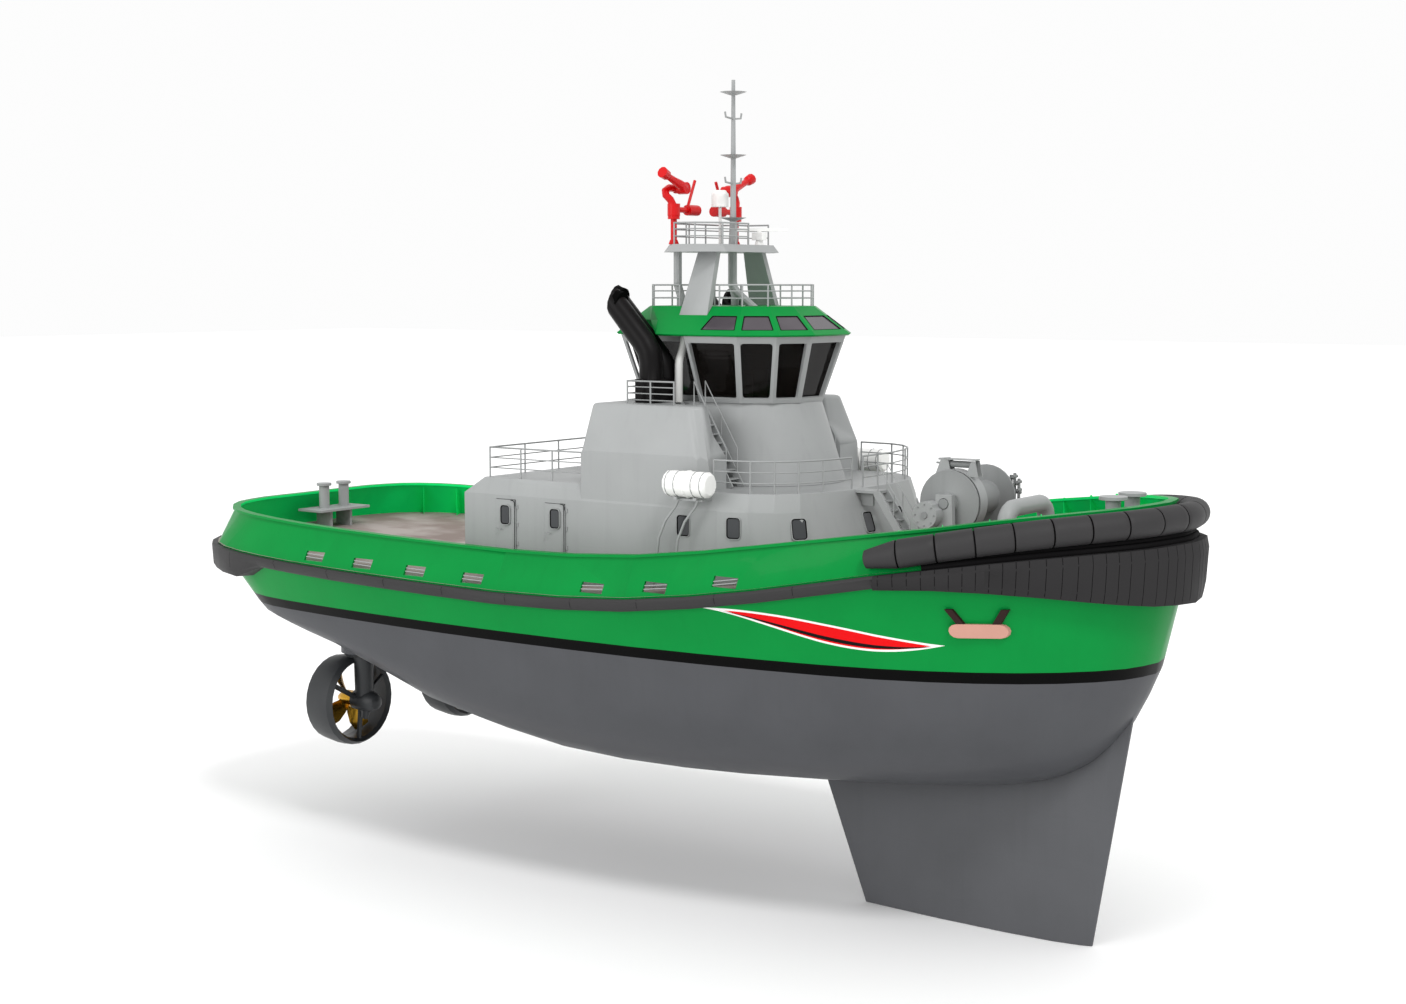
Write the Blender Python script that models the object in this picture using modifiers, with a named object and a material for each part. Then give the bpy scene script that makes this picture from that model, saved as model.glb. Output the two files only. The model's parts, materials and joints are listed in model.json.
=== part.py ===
"""Harbour tug, about 36 m long, with two steerable stern thrusters and a deep escort skeg.

Metres. +X is forward, +Y is port, +Z is up. The origin is on the centreline amidships, at the waterline.
"""

import math

import bmesh
import bpy
from mathutils import Matrix, Vector

# Driving dimensions
GAP = 0.0003                # left between touching pieces
BULWARK_HEIGHT, BOW_DROP = 1.2, 0.2    # the bulwark, and how much lower it is at the bow
BULWARK_LEAN = 0.62         # how far the bulwark's top leans inboard
BULWARK_THICK = 0.09
BULWARK_FOOT_IN, BULWARK_ROOT = 0.04, 0.02
CAP_PROUD, CAP_THICK = 0.09, 0.08
FREEING_PORTS = (-10.4, -8.2, -5.9, -3.5, 1.2, 3.5, 5.9)
FENDER_DROP = 0.05          # from the deck edge down to the fenders' tops
ROLL_RADIUS = 0.40
ROLL_OUT, ROLL_UP = -0.04, 0.62  # the roll's centre from the deck edge
BOAT_DECK_Z = 4.82
WALL = 0.12
BRIDGE_Z = 7.32             # top of casings and pedestal
HEAD_Z = 9.37               # top of the wheelhouse's window frames
EAVE_Z, ROOF_Z = 9.42, 10.28
PLATFORM_Z = 12.2
RAIL_BAR = 0.05
THRUSTER_X, THRUSTER_Y, THRUSTER_Z = -12.75, 2.88, -3.58    # centre of the nozzle
STEER_X, SEAT_Z = -12.0, -1.82      # the steering axis, and the flat under the hull that it turns on
NOZZLE_OUTER = 1.6
PROPELLER_RADIUS = 1.3
WINCH_X, WINCH_Z = 10.1, 4.6
MONITOR_X, MONITOR_Y = 0.58, 1.73
SIDES = (("starboard", -1), ("port", 1))

# Hull stations from stern to stem: deck edge, waterline and keel, with the roundness of the bottom's section
HULL_COLUMNS = ("x_deck", "y_deck", "x_water", "y_water", "x_keel", "depth", "round")
HULL_TABLE = (
    (-17.65, 2.60, -15.90, 2.40, -15.30, 0.35, 2.0),
    (-17.25, 4.35, -15.60, 4.00, -15.15, 0.42, 2.0),
    (-16.10, 5.75, -14.90, 5.00, -14.50, 0.65, 2.1),
    (-14.30, 6.50, -13.60, 5.62, -13.20, 1.25, 2.2),
    (-11.50, 6.85, -11.00, 6.00, -10.80, 2.00, 2.3),
    (-7.50, 6.95, -7.20, 6.35, -7.00, 3.40, 2.5),
    (-2.50, 6.95, -2.50, 6.52, -2.30, 4.25, 2.5),
    (2.50, 6.95, 2.40, 6.40, 2.40, 4.33, 2.5),
    (7.00, 6.80, 6.70, 5.95, 6.30, 4.15, 2.4),
    (10.50, 6.20, 10.00, 5.30, 9.30, 3.95, 2.2),
    (13.20, 5.00, 12.60, 4.25, 11.40, 3.75, 2.1),
    (15.30, 3.35, 14.50, 2.95, 12.80, 3.50, 2.0),
    (16.55, 1.70, 15.75, 1.40, 13.60, 3.20, 2.0),
    (16.95, 0.00, 16.10, 0.00, 13.90, 3.05, 2.0),
)
HULL_STEPS = 2              # stations drawn between two rows of the table
BOTTOM_STEPS = 6            # rows of faces from the waterline to the keel

# Main deck height along the ship
SHEER = ((-18.0, 2.12), (-14.0, 1.95), (-10.0, 1.80), (-5.0, 1.68), (-1.0, 1.66), (3.0, 1.90),
         (7.0, 2.48), (10.5, 3.12), (14.0, 3.62), (17.5, 3.95))


def linear(value):
    """One sRGB channel, 0 to 255, as the renderer's linear value."""
    value /= 255
    return value / 12.92 if value <= 0.04045 else ((value + 0.055) / 1.055) ** 2.4


def make_material(name, colour, roughness, metallic=0.0, alpha=1.0):
    material = bpy.data.materials.new(name)
    material.use_nodes = True
    shader = material.node_tree.nodes["Principled BSDF"]
    red_green_blue = [linear(int(colour[i:i + 2], 16)) for i in (1, 3, 5)]
    shader.inputs["Base Color"].default_value = (*red_green_blue, 1)
    shader.inputs["Roughness"].default_value = roughness
    shader.inputs["Metallic"].default_value = metallic
    shader.inputs["Alpha"].default_value = alpha
    return material


def clear_scene():
    for thing in list(bpy.data.objects):
        bpy.data.objects.remove(thing, do_unlink=True)


clear_scene()
PARTS = bpy.data.collections.new("harbour_tug")
CUTTERS = bpy.data.collections.new("cutters")
bpy.context.scene.collection.children.link(PARTS)
bpy.context.scene.collection.children.link(CUTTERS)

GREEN = make_material("green_enamel", "#089441", 0.35)
GREY = make_material("grey_enamel", "#a9abab", 0.4)
RUBBER = make_material("black_rubber", "#3c3a3d", 0.75)
BOTTOM_PAINT = make_material("grey_antifouling", "#5b5c5f", 0.55)
DARK_STEEL = make_material("dark_painted_steel", "#3a3c3e", 0.45)
BRONZE = make_material("propeller_bronze", "#c79a3c", 0.3, 1.0)
RED = make_material("red_enamel", "#e8161b", 0.3)
BLACK = make_material("black_heat_paint", "#161617", 0.5)
WHITE = make_material("white_glassfibre", "#eeeeee", 0.35)
GLASS = make_material("tinted_glass", "#20262a", 0.08, 0.0, 0.35)
INTERIOR = make_material("dark_console_plastic", "#2c2a29", 0.6)
PINK = make_material("pale_anchor_plate", "#e9b9a4", 0.5)


def add_object(name, mesh, material, collection=PARTS):
    made = bpy.data.objects.new(name, mesh)
    collection.objects.link(made)
    if material:
        made.data.materials.append(material)
    if collection is CUTTERS:
        made.hide_render = True
        made.display_type = "WIRE"
    return made


def from_bmesh(name, built, material, collection=PARTS):
    bmesh.ops.recalc_face_normals(built, faces=built.faces)
    mesh = bpy.data.meshes.new(name)
    built.to_mesh(mesh)
    built.free()
    return add_object(name, mesh, material, collection)


def boolean(target, operation, other):
    """Applies a Boolean with another object and removes that object if it is a helper."""
    modifier = target.modifiers.new(operation.lower(), "BOOLEAN")
    modifier.operation = operation
    modifier.solver = "EXACT"
    modifier.object = other
    graph = bpy.context.evaluated_depsgraph_get()
    mesh = bpy.data.meshes.new_from_object(target.evaluated_get(graph))
    target.modifiers.remove(modifier)
    target.data = mesh


def join(name, pieces, material):
    """One closed body from overlapping pieces."""
    first, *rest = pieces
    for other in rest:
        boolean(first, "UNION", other)
        bpy.data.objects.remove(other)
    first.name = name
    first.data.materials.clear()
    first.data.materials.append(material)
    return first


def cut(target, cutters, keep=False):
    for cutter in cutters:
        boolean(target, "DIFFERENCE", cutter)
        if not keep:
            bpy.data.objects.remove(cutter)


def box(size, centre, turn=None, name="box", material=GREY, collection=PARTS):
    built = bmesh.new()
    bmesh.ops.create_cube(built, size=1.0)
    placed = Matrix.Translation(centre) @ (turn or Matrix()) @ Matrix.Diagonal((*size, 1))
    bmesh.ops.transform(built, matrix=placed, verts=built.verts)
    return from_bmesh(name, built, material, collection)


def span(low, high, name="box", material=GREY, collection=PARTS):
    """A box between its lowest and highest corners."""
    size = [b - a for a, b in zip(low, high)]
    centre = [(a + b) / 2 for a, b in zip(low, high)]
    return box(size, centre, None, name, material, collection)


def rod(start, end, radius, end_radius=None, sides=12, name="rod", material=GREY, collection=PARTS):
    """A cylinder or cone between two points."""
    start, end = Vector(start), Vector(end)
    along = end - start
    built = bmesh.new()
    bmesh.ops.create_cone(built, cap_ends=True, segments=sides, radius1=radius,
                          radius2=radius if end_radius is None else end_radius, depth=along.length)
    turned = along.to_track_quat("Z", "Y").to_matrix().to_4x4()
    bmesh.ops.transform(built, matrix=Matrix.Translation((start + end) / 2) @ turned, verts=built.verts)
    return from_bmesh(name, built, material, collection)


def loft(rings, name, material, collection=PARTS, closed=False):
    """Faces between rings with equal numbers of points: capped at both ends, or closed into a loop."""
    built = bmesh.new()
    rows = [[built.verts.new(point) for point in ring] for ring in rings]
    pairs = list(zip(rows, rows[1:]))
    if closed:
        pairs.append((rows[-1], rows[0]))
    for one, two in pairs:
        for i in range(len(one)):
            j = (i + 1) % len(one)
            built.faces.new((one[i], one[j], two[j], two[i]))
    if not closed:
        built.faces.new(rows[0])
        built.faces.new(rows[-1])
    bmesh.ops.triangulate(built, faces=built.faces, quad_method="FIXED")
    return from_bmesh(name, built, material, collection)


def evaluated_copy(source, name, material):
    """A mesh object from what an object's curve or modifiers make, which it replaces."""
    graph = bpy.context.evaluated_depsgraph_get()
    mesh = bpy.data.meshes.new_from_object(source.evaluated_get(graph))
    built = bmesh.new()
    built.from_mesh(mesh)
    bmesh.ops.remove_doubles(built, verts=built.verts, dist=1e-5)
    placed = source.matrix_world.copy()
    bpy.data.objects.remove(source)
    made = from_bmesh(name, built, material)
    made.matrix_world = placed
    return made


def turned(profile, steps, place, name, material):
    """A turned body: (radius, height) pairs go down its outer side, and the axis is place's Z."""
    mesh = bpy.data.meshes.new(name)
    edges = [(i, (i + 1) % len(profile)) for i in range(len(profile))]
    mesh.from_pydata([(radius, 0, height) for radius, height in profile], edges, [])
    outline = add_object("outline", mesh, None)
    screw = outline.modifiers.new("turn", "SCREW")
    screw.steps = screw.render_steps = steps
    screw.use_merge_vertices = True
    screw.merge_threshold = 0.0001
    outline.matrix_world = place
    return evaluated_copy(outline, name, material)


def tube(points, radii, name, material, sides=8, collection=PARTS):
    """A bent pipe along a chain of points, as a bevelled curve with filled caps."""
    curve = bpy.data.curves.new(name, "CURVE")
    curve.dimensions = "3D"
    curve.use_fill_caps = True
    curve.bevel_depth = 1.0
    curve.bevel_resolution = sides // 2 - 2
    line = curve.splines.new("POLY")
    line.points.add(len(points) - 1)
    if not isinstance(radii, (list, tuple)):
        radii = [radii] * len(points)
    for target, point, radius in zip(line.points, points, radii):
        target.co = (*point, 1)
        target.radius = radius
    drawn = bpy.data.objects.new(name, curve)
    collection.objects.link(drawn)
    return evaluated_copy(drawn, name, material)


def polygon_body(outline_low, z_low, outline_high, z_high, name, material, collection=PARTS):
    """A body between two outlines of half points, mirrored over the centreline."""
    rings = []
    for outline, level in ((outline_low, z_low), (outline_high, z_high)):
        whole = list(outline) + [(x, -y) for x, y in reversed(outline)]
        rings.append([(x, y, level) for x, y in whole])
    return loft(rings, name, material, collection)


def spline(table, position):
    """Value of a smooth curve through the rows (place, value) at a position."""
    places = [row[0] for row in table]
    position = min(max(position, places[0]), places[-1])
    i = min(max(k for k, place in enumerate(places) if place <= position), len(places) - 2)

    def slope(k):
        low, high = max(k - 1, 0), min(k + 1, len(places) - 1)
        return (table[high][1] - table[low][1]) / (places[high] - places[low])

    width = places[i + 1] - places[i]
    t = (position - places[i]) / width
    return ((2 * t ** 3 - 3 * t ** 2 + 1) * table[i][1] + (t ** 3 - 2 * t ** 2 + t) * width * slope(i)
            + (3 * t ** 2 - 2 * t ** 3) * table[i + 1][1] + (t ** 3 - t ** 2) * width * slope(i + 1))


def sheer(x):
    return spline(SHEER, x)


# Hull, skeg, bulwark and fenders

def hull_stations():
    """The hull table's columns at evenly spaced places between its rows."""
    count = (len(HULL_TABLE) - 1) * HULL_STEPS
    stations = []
    for k in range(count + 1):
        place = k / HULL_STEPS
        row = {}
        for column, name in enumerate(HULL_COLUMNS):
            row[name] = spline([(i, values[column]) for i, values in enumerate(HULL_TABLE)], place)
        row["z_deck"] = sheer(row["x_deck"])
        stations.append(row)
    return stations


STATIONS = hull_stations()


def side_point(station, down):
    """A point on the starboard side, 0 at the deck edge and 1 at the waterline."""
    x = station["x_deck"] + (station["x_water"] - station["x_deck"]) * down
    y = station["y_deck"] + (station["y_water"] - station["y_deck"]) * down
    return Vector((x, -y, station["z_deck"] * (1 - down)))


def hull_section(station):
    """Half section from the deck edge round the bilge to the keel, on starboard."""
    points = [side_point(station, 0), side_point(station, 0.5), side_point(station, 1)]
    power = 2 / station["round"]
    for k in range(1, BOTTOM_STEPS + 1):
        angle = math.pi / 2 * k / BOTTOM_STEPS
        y = station["y_water"] * max(math.cos(angle), 0) ** power
        fall = math.sin(angle) ** power
        x = station["x_water"] + (station["x_keel"] - station["x_water"]) * (0.6 * fall + 0.4 * fall ** 4)
        points.append(Vector((x, -y if k < BOTTOM_STEPS else 0, -station["depth"] * fall)))
    return points


def make_hull(name, material, collection=PARTS, move=(0, 0, 0), grow=(1, 1, 1)):
    built = bmesh.new()

    def vertex(point):
        return built.verts.new([p * g + m for p, g, m in zip(point, grow, move)])

    halves = []
    for station in STATIONS:
        section = hull_section(station)
        starboard = [vertex(point) for point in section]
        if station is STATIONS[-1]:
            port = starboard
        else:
            port = [vertex((p.x, -p.y, p.z)) for p in section[:-1]] + [starboard[-1]]
        halves.append((starboard, port))
    for (s0, p0), (s1, p1) in zip(halves, halves[1:]):
        built.faces.new(list(dict.fromkeys((s0[0], p0[0], p1[0], s1[0]))))
        for side0, side1 in ((s0, s1), (p0, p1)):
            for k in range(len(side0) - 1):
                built.faces.new((side0[k], side0[k + 1], side1[k + 1], side1[k]))
    starboard, port = halves[0]
    for k in range(len(starboard) - 1):
        corners = list(dict.fromkeys((starboard[k], starboard[k + 1], port[k + 1], port[k])))
        built.faces.new(corners)
    bmesh.ops.triangulate(built, faces=built.faces, quad_method="FIXED")
    return from_bmesh(name, built, material, collection)


def make_hull_with_seats():
    """The hull, with a round headbox under each thruster's steering axis."""
    hull = make_hull("hull", GREEN)
    seats = [rod((STEER_X, side * THRUSTER_Y, -0.8), (STEER_X, side * THRUSTER_Y, SEAT_Z), 0.78, sides=24)
             for _, side in SIDES]
    join("hull", [hull] + seats, GREEN)


make_hull_with_seats()
DECK_CUTTER = make_hull("deck_cutter", None, CUTTERS, move=(0, 0, GAP))
SIDE_CUTTER = make_hull("side_cutter", None, CUTTERS, grow=(1 + GAP / 16, 1 + GAP / 5, 1))
KEEL_CUTTER = make_hull("keel_cutter", None, CUTTERS, move=(0, 0, -GAP))


def make_skeg():
    """Deep escort fin under the forebody, foil-shaped in plan and cut to the hull's bottom."""
    levels = (  # z, front x, aft x, half thickness
        (-1.0, 15.53, 3.90, 0.42),
        (-5.0, 14.88, 5.48, 0.40),
        (-8.26, 14.35, 6.73, 0.30),
    )
    outline = ((0.0, 0.12), (0.04, 0.45), (0.15, 0.85), (0.35, 1.0), (0.65, 0.75), (0.9, 0.3), (1.0, 0.1))
    rings = []
    for z, front, aft, half in levels:
        side = [(front + (aft - front) * along, half * thick) for along, thick in outline]
        whole = side + [(x, -y) for x, y in reversed(side)]
        rings.append([(x, y, z) for x, y in whole])
    skeg = loft(rings, "skeg", BOTTOM_PAINT)
    cut(skeg, [KEEL_CUTTER], keep=True)


make_skeg()


def edge_frames(first=0, last=None):
    """Deck-edge point, outward direction in plan and station, along starboard from stern to stem."""
    points = [side_point(station, 0) for station in STATIONS]
    frames = []
    for i, point in enumerate(points):
        before = points[max(i - 1, 0)]
        after = points[min(i + 1, len(points) - 1)]
        along = Vector((after.x - before.x, after.y - before.y, 0))
        if i == 0:
            along = Vector((0, -1, 0))
        if i == len(points) - 1:
            along = Vector((0, 1, 0))
        along.normalize()
        frames.append((point, Vector((along.y, -along.x, 0)), STATIONS[i]))
    return frames[first:last]


def around(frames):
    """The same frames with their port mirrors, from the bow's centre round and back."""
    port = []
    for point, out, station in reversed(frames):
        if abs(point.y) > 1e-6:
            port.append((Vector((point.x, -point.y, point.z)), Vector((out.x, -out.y, 0)), station))
    return list(frames) + port


def bulwark_rise(station):
    """Bulwark height: a little lower at the bow, where the fender roll covers it."""
    return BULWARK_HEIGHT - BOW_DROP * max(0.0, min(1.0, (station["x_deck"] - 6.5) / 5))


def bulwark_body(name, material, collection=PARTS, grow=0.0):
    """Leaning plate all round the deck's edge, with a flat cap rail."""
    rings = []
    for point, out, station in around(edge_frames()):
        up = Vector((0, 0, bulwark_rise(station)))
        foot = point - out * (BULWARK_FOOT_IN - grow) - Vector((0, 0, BULWARK_ROOT))
        top = point - out * BULWARK_LEAN + up
        thick = out * BULWARK_THICK
        cap = out * CAP_PROUD
        low_cap = top - Vector((0, 0, CAP_THICK))
        rings.append([foot, low_cap + out * grow, low_cap + cap, top + cap,
                      top - thick - cap, low_cap - thick - cap, low_cap - thick, foot - thick])
    return loft(rings, name, material, collection, closed=True)


def make_bulwark():
    bulwark = bulwark_body("bulwark", GREEN)
    cut(bulwark, [DECK_CUTTER], keep=True)
    ports = []
    for side in (-1, 1):
        for x in FREEING_PORTS:
            low = sheer(x) + 0.1
            y = side * 6.7
            ports.append(span((x - 0.42, y - 0.8, low), (x + 0.42, y + 0.8, low + 0.3),
                              "freeing_port", None, CUTTERS))
    cut(bulwark, ports)


make_bulwark()


def fender_section(point, out, station, tall, proud, upright=0.0):
    """D section against the hull's side, from just under the deck edge down. Its face can be made upright."""
    mirror = -1 if point.y > 0 else 1

    def on_side(fall):
        place = side_point(station, fall / station["z_deck"])
        return Vector((place.x, place.y * mirror, place.z))

    top, foot = on_side(FENDER_DROP), on_side(FENDER_DROP + tall)
    inside = -out * 0.06
    high, low, heel = top.lerp(foot, 0.2) + out * proud, top.lerp(foot, 0.8) + out * proud, foot + out * proud * 0.7
    low = low.lerp(Vector((high.x, high.y, low.z)), upright)
    heel = heel.lerp(Vector((high.x, high.y, heel.z)) - out * proud * 0.25, upright)
    return [top + inside, top + out * proud * 0.7, high, low, heel, foot + inside]


BLOCK_START = next(i for i, s in enumerate(STATIONS) if s["x_deck"] > 10.0)     # where the bow's fenders begin


def make_side_fender():
    """The D fender along both sides, deepening into a block round the stern."""
    rings = []
    frames = around(edge_frames())
    count = len(frames)
    for i in list(range(count - 1 - BLOCK_START, count)) + list(range(0, BLOCK_START + 1)):
        point, out, station = frames[i]
        stern = max(0.0, min(1.0, (-13.2 - station["x_deck"]) / 1.0))
        rings.append(fender_section(point, out, station, 0.36 + 0.48 * stern, 0.27 + 0.08 * stern, 0.9 * stern))
    for end in (0, -1):
        rings[end] = [p - Vector((2 * GAP, 0, 0)) for p in rings[end]]
    fender = loft(rings, "side_fender", RUBBER)
    cut(fender, [SIDE_CUTTER], keep=True)


make_side_fender()


UPRIGHT = 0.8                # share by which the block's face leaves the flare of the stem


def make_bow_block():
    """Ribbed block fender under the roll, growing from the side fender to its full depth at the stem."""
    frames = around(edge_frames())
    rings = []
    for i in range(BLOCK_START, len(frames) - BLOCK_START):
        point, out, station = frames[i]
        ahead = max(0.0, min(1.0, (station["x_deck"] - 9.8) / 7.15))
        ring = fender_section(point, out, station, 0.36 + 1.36 * ahead ** 1.5, 0.30 + 0.15 * ahead)
        for k in (3, 4):        # the outer face stands upright at the stem
            hanging = Vector((ring[2].x, ring[2].y, ring[k].z))
            ring[k] = ring[k].lerp(hanging, UPRIGHT * ahead ** 2)
        rings.append(ring)
    block = loft(rings, "bow_block_fender", RUBBER)
    cut(block, [SIDE_CUTTER], keep=True)


make_bow_block()


def make_roll():
    """Roll fender round the bow, lying against the leaning bulwark."""
    frames = around(edge_frames())[BLOCK_START:-BLOCK_START]
    centres = [point + out * ROLL_OUT + Vector((0, 0, ROLL_UP)) for point, out, _ in frames]
    last = len(centres) - 1
    rings = []
    for i, centre in enumerate(centres):
        along = (centres[min(i + 1, last)] - centres[max(i - 1, 0)]).normalized()
        side = along.cross(Vector((0, 0, 1))).normalized()
        up = side.cross(along)
        end = min(i, last - i)
        radius = ROLL_RADIUS * (0.62, 0.85)[end] if end < 2 else ROLL_RADIUS
        ring = []
        for k in range(12):
            angle = 2 * math.pi * k / 12
            ring.append(centre + radius * (side * math.cos(angle) + up * math.sin(angle)))
        rings.append(ring)
    roll = loft(rings, "bow_roll_fender", RUBBER)
    cut(roll, [bulwark_body("bulwark_cutter", None, CUTTERS, GAP)])


make_roll()


# Deckhouse, casings, pedestal and wheelhouse

# The deckhouse's rings from its foot to the boat deck; its front is a half superellipse about ROUND_X
ROUND_X = 4.2
# Each row: height, aft end's x and half width, widest half width, front's x
HOUSE_RINGS = ((1.2, -5.7, 4.6, 4.6, 8.15), (4.29, -5.7, 4.6, 4.6, 7.10), (BOAT_DECK_Z, -4.92, 4.48, 4.4, 6.95))
ROUND_POWER = 2.5
ROUND_TURNS = (90, 75, 60, 45, 30, 12)      # degrees from straight ahead


def house_ring(z, aft_x, aft_y, side_y, front_x, inset=0.0):
    """Whole outline at one height: square corners aft and a round front."""
    half = [(aft_x + inset, aft_y - inset)]
    for turn in ROUND_TURNS:
        angle = math.radians(turn)
        half.append((ROUND_X + (front_x - inset - ROUND_X) * max(math.cos(angle), 0) ** (2 / ROUND_POWER),
                     (side_y - inset) * math.sin(angle) ** (2 / ROUND_POWER)))
    return [(x, y, z) for x, y in half] + [(x, -y, z) for x, y in reversed(half)]


def house_body(name, inset, drop, material, collection=PARTS, move=0.0):
    """The deckhouse as a solid: wall up to the knuckle, band turning in, then the boat deck."""
    rings = []
    for row, share in zip(HOUSE_RINGS, (0, 0.5, 1)):
        z, *plan = row
        rings.append(house_ring(z - drop * share + move, *plan, inset))
    return loft(rings, name, material, collection)


DOORS = ((-3.95, "aft"), (-1.95, "forward"))   # centre x on each side, and its name
DOOR_WIDE, DOOR_TALL, DOOR_SILL = 0.8, 1.9, 0.6
DOOR_CLEAR, DOOR_THICK, DOOR_PROUD = 0.012, 0.08, 0.03
HOUSE_HALF = 4.6


def make_deckhouse():
    house = house_body("deckhouse", 0, 0, GREY)
    inner = house_body("house_inside", WALL, WALL, None, CUTTERS)
    cut(house, [inner])
    cut(house, [DECK_CUTTER], keep=True)
    openings = []
    for side in (-1, 1):
        for x, _ in DOORS:
            low = sheer(x) + DOOR_SILL
            openings.append(span((x - DOOR_WIDE / 2, side * 4.6 - 0.4, low),
                                 (x + DOOR_WIDE / 2, side * 4.6 + 0.4, low + DOOR_TALL),
                                 "door_opening", None, CUTTERS))
    cut(house, openings)
    return house


make_deckhouse()


def make_doors():
    """Weathertight doors that fill their openings and swing out on hinges at their forward edge."""
    for side_name, side in SIDES:
        for x, place in DOORS:
            low = sheer(x) + DOOR_SILL
            name = f"door_{place}_{side_name}"
            hinge = Vector((x + DOOR_WIDE / 2, side * (HOUSE_HALF + DOOR_PROUD), low))
            leaf = box((DOOR_WIDE - 0.04 - DOOR_CLEAR, DOOR_THICK, DOOR_TALL - 2 * DOOR_CLEAR),
                       ((DOOR_CLEAR - DOOR_WIDE - 0.04) / 2, -side * DOOR_THICK / 2, DOOR_TALL / 2))
            knuckle = rod((0, 0, 0.2), (0, 0, DOOR_TALL - 0.2), DOOR_PROUD - 0.0004, sides=16)
            strap = span((-0.1, -0.012, 0.25), (0, 0.012, DOOR_TALL - 0.25))
            door = join(name, [leaf, strap, knuckle], GREY)
            door.location = hinge


make_doors()
HOUSE_CUTTER = house_body("house_cutter", 0, 0, None, CUTTERS, move=GAP)


CASING_CUTTERS = {}
CASING_INNER = 2.0
CORNER = 0.3                        # the outer front corner is cut off
NOTCH_X, NOTCH_Y = 1.25, 3.32       # the corner that the stair comes up through


def make_casing(side_name, side):
    """Engine-room casing: outer wall leaning in, with a narrow wing forward past the stair's notch."""
    outlines = (  # z, aft x, x of the front at its outer and its inner end, outer y
        (4.31, -0.92, 3.78, 3.52, 4.585),
        (5.86, -0.92, 3.76, 3.50, 4.585),
        (BRIDGE_Z, -0.72, 3.26, 2.38, 4.25),
    )
    rings = []
    wider = []
    for z, aft, front, inner_front, outer in outlines:
        plan = ((aft, CASING_INNER), (aft, outer), (front - CORNER, outer), (front, outer - CORNER),
                (inner_front, CASING_INNER))
        rings.append([(x, side * y, z) for x, y in plan])
        wider.append([(x, side * (y + GAP), z) for x, y in plan])
    casing = loft(rings, f"casing_{side_name}", GREY)
    notch = box((8, 4, 8), (NOTCH_X + 4, side * (NOTCH_Y - 2), 6), None, "notch", None, CUTTERS)
    cut(casing, [notch])
    cut(casing, [HOUSE_CUTTER], keep=True)
    CASING_CUTTERS[side_name] = loft(wider, "casing_cutter", None, CUTTERS)


for name, side in SIDES:
    make_casing(name, side)


def pedestal_outline(radius, centre, half_aft, aft):
    """Half outline: straight sides aft, then a round front."""
    points = [(aft, half_aft), (1.3, half_aft)]
    for k in range(9):
        turn = math.radians(100 - 12 * k)
        points.append((centre + radius * math.cos(turn), radius * math.sin(turn)))
    return points


def make_pedestal():
    """Tower that carries the wheelhouse, a cone in front and square between the casings aft."""
    low = pedestal_outline(2.6, 3.0, 1.97, -0.85)
    high = pedestal_outline(1.95, 2.7, 1.97, -0.35)
    pedestal = polygon_body(low, 4.4, high, BRIDGE_Z, "pedestal", GREY)
    cut(pedestal, [HOUSE_CUTTER], keep=True)


make_pedestal()

# Half outlines of the wheelhouse, from aft to the front
SILL_PLAN = ((-1.0, 1.25), (1.35, 1.25), (1.75, 2.0), (3.25, 2.0), (4.12, 1.48), (4.58, 0.68))
HEAD_PLAN = ((-1.6, 1.6), (1.1, 1.6), (1.6, 2.64), (3.56, 2.64), (4.62, 2.03), (5.21, 1.0))
# The roof steps in beside the exhaust pipes: its lowest ring, eave, middle and top
SOFFIT_PLAN = ((-1.70, 1.62), (0.66, 1.86), (0.68, 2.70), (3.62, 2.72), (4.70, 2.08), (5.30, 1.02))
EAVE_PLAN = ((-1.75, 1.65), (0.60, 1.90), (0.62, 2.78), (3.66, 2.78), (4.76, 2.12), (5.37, 1.03))
VISOR_PLAN = ((-1.30, 1.40), (-0.15, 1.98), (0.36, 2.29), (3.43, 2.29), (4.33, 1.735), (4.835, 0.815))
ROOF_PLAN = ((-0.80, 1.10), (-0.25, 1.75), (0.90, 1.80), (3.20, 1.80), (3.90, 1.35), (4.30, 0.60))
HOLLOW_PLAN = ((-1.40, 1.40), (1.0, 1.45), (1.5, 2.46), (3.50, 2.46), (4.48, 1.90), (5.02, 0.92))
CEILING_PLAN = ((-0.60, 0.95), (0.55, 1.30), (0.95, 1.60), (3.14, 1.62), (3.78, 1.22), (4.14, 0.52))
CEILING_Z = ROOF_Z - 0.10


def inward(plan, inset):
    """A half outline moved in by a distance, each corner along the mean of its two walls."""
    whole = [Vector(p) for p in plan]
    moved = []
    for i, point in enumerate(whole):
        before = whole[i - 1] if i else Vector((point.x, -point.y))
        after = whole[i + 1] if i < len(whole) - 1 else Vector((point.x, -point.y))
        first = (point - before).normalized()
        second = (after - point).normalized()
        normal_1 = Vector((first.y, -first.x))
        normal_2 = Vector((second.y, -second.x))
        middle = (normal_1 + normal_2).normalized()
        reach = inset / max(0.3, middle.dot(normal_1))
        moved.append((point.x + middle.x * reach, point.y + middle.y * reach))
    return moved


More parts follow.
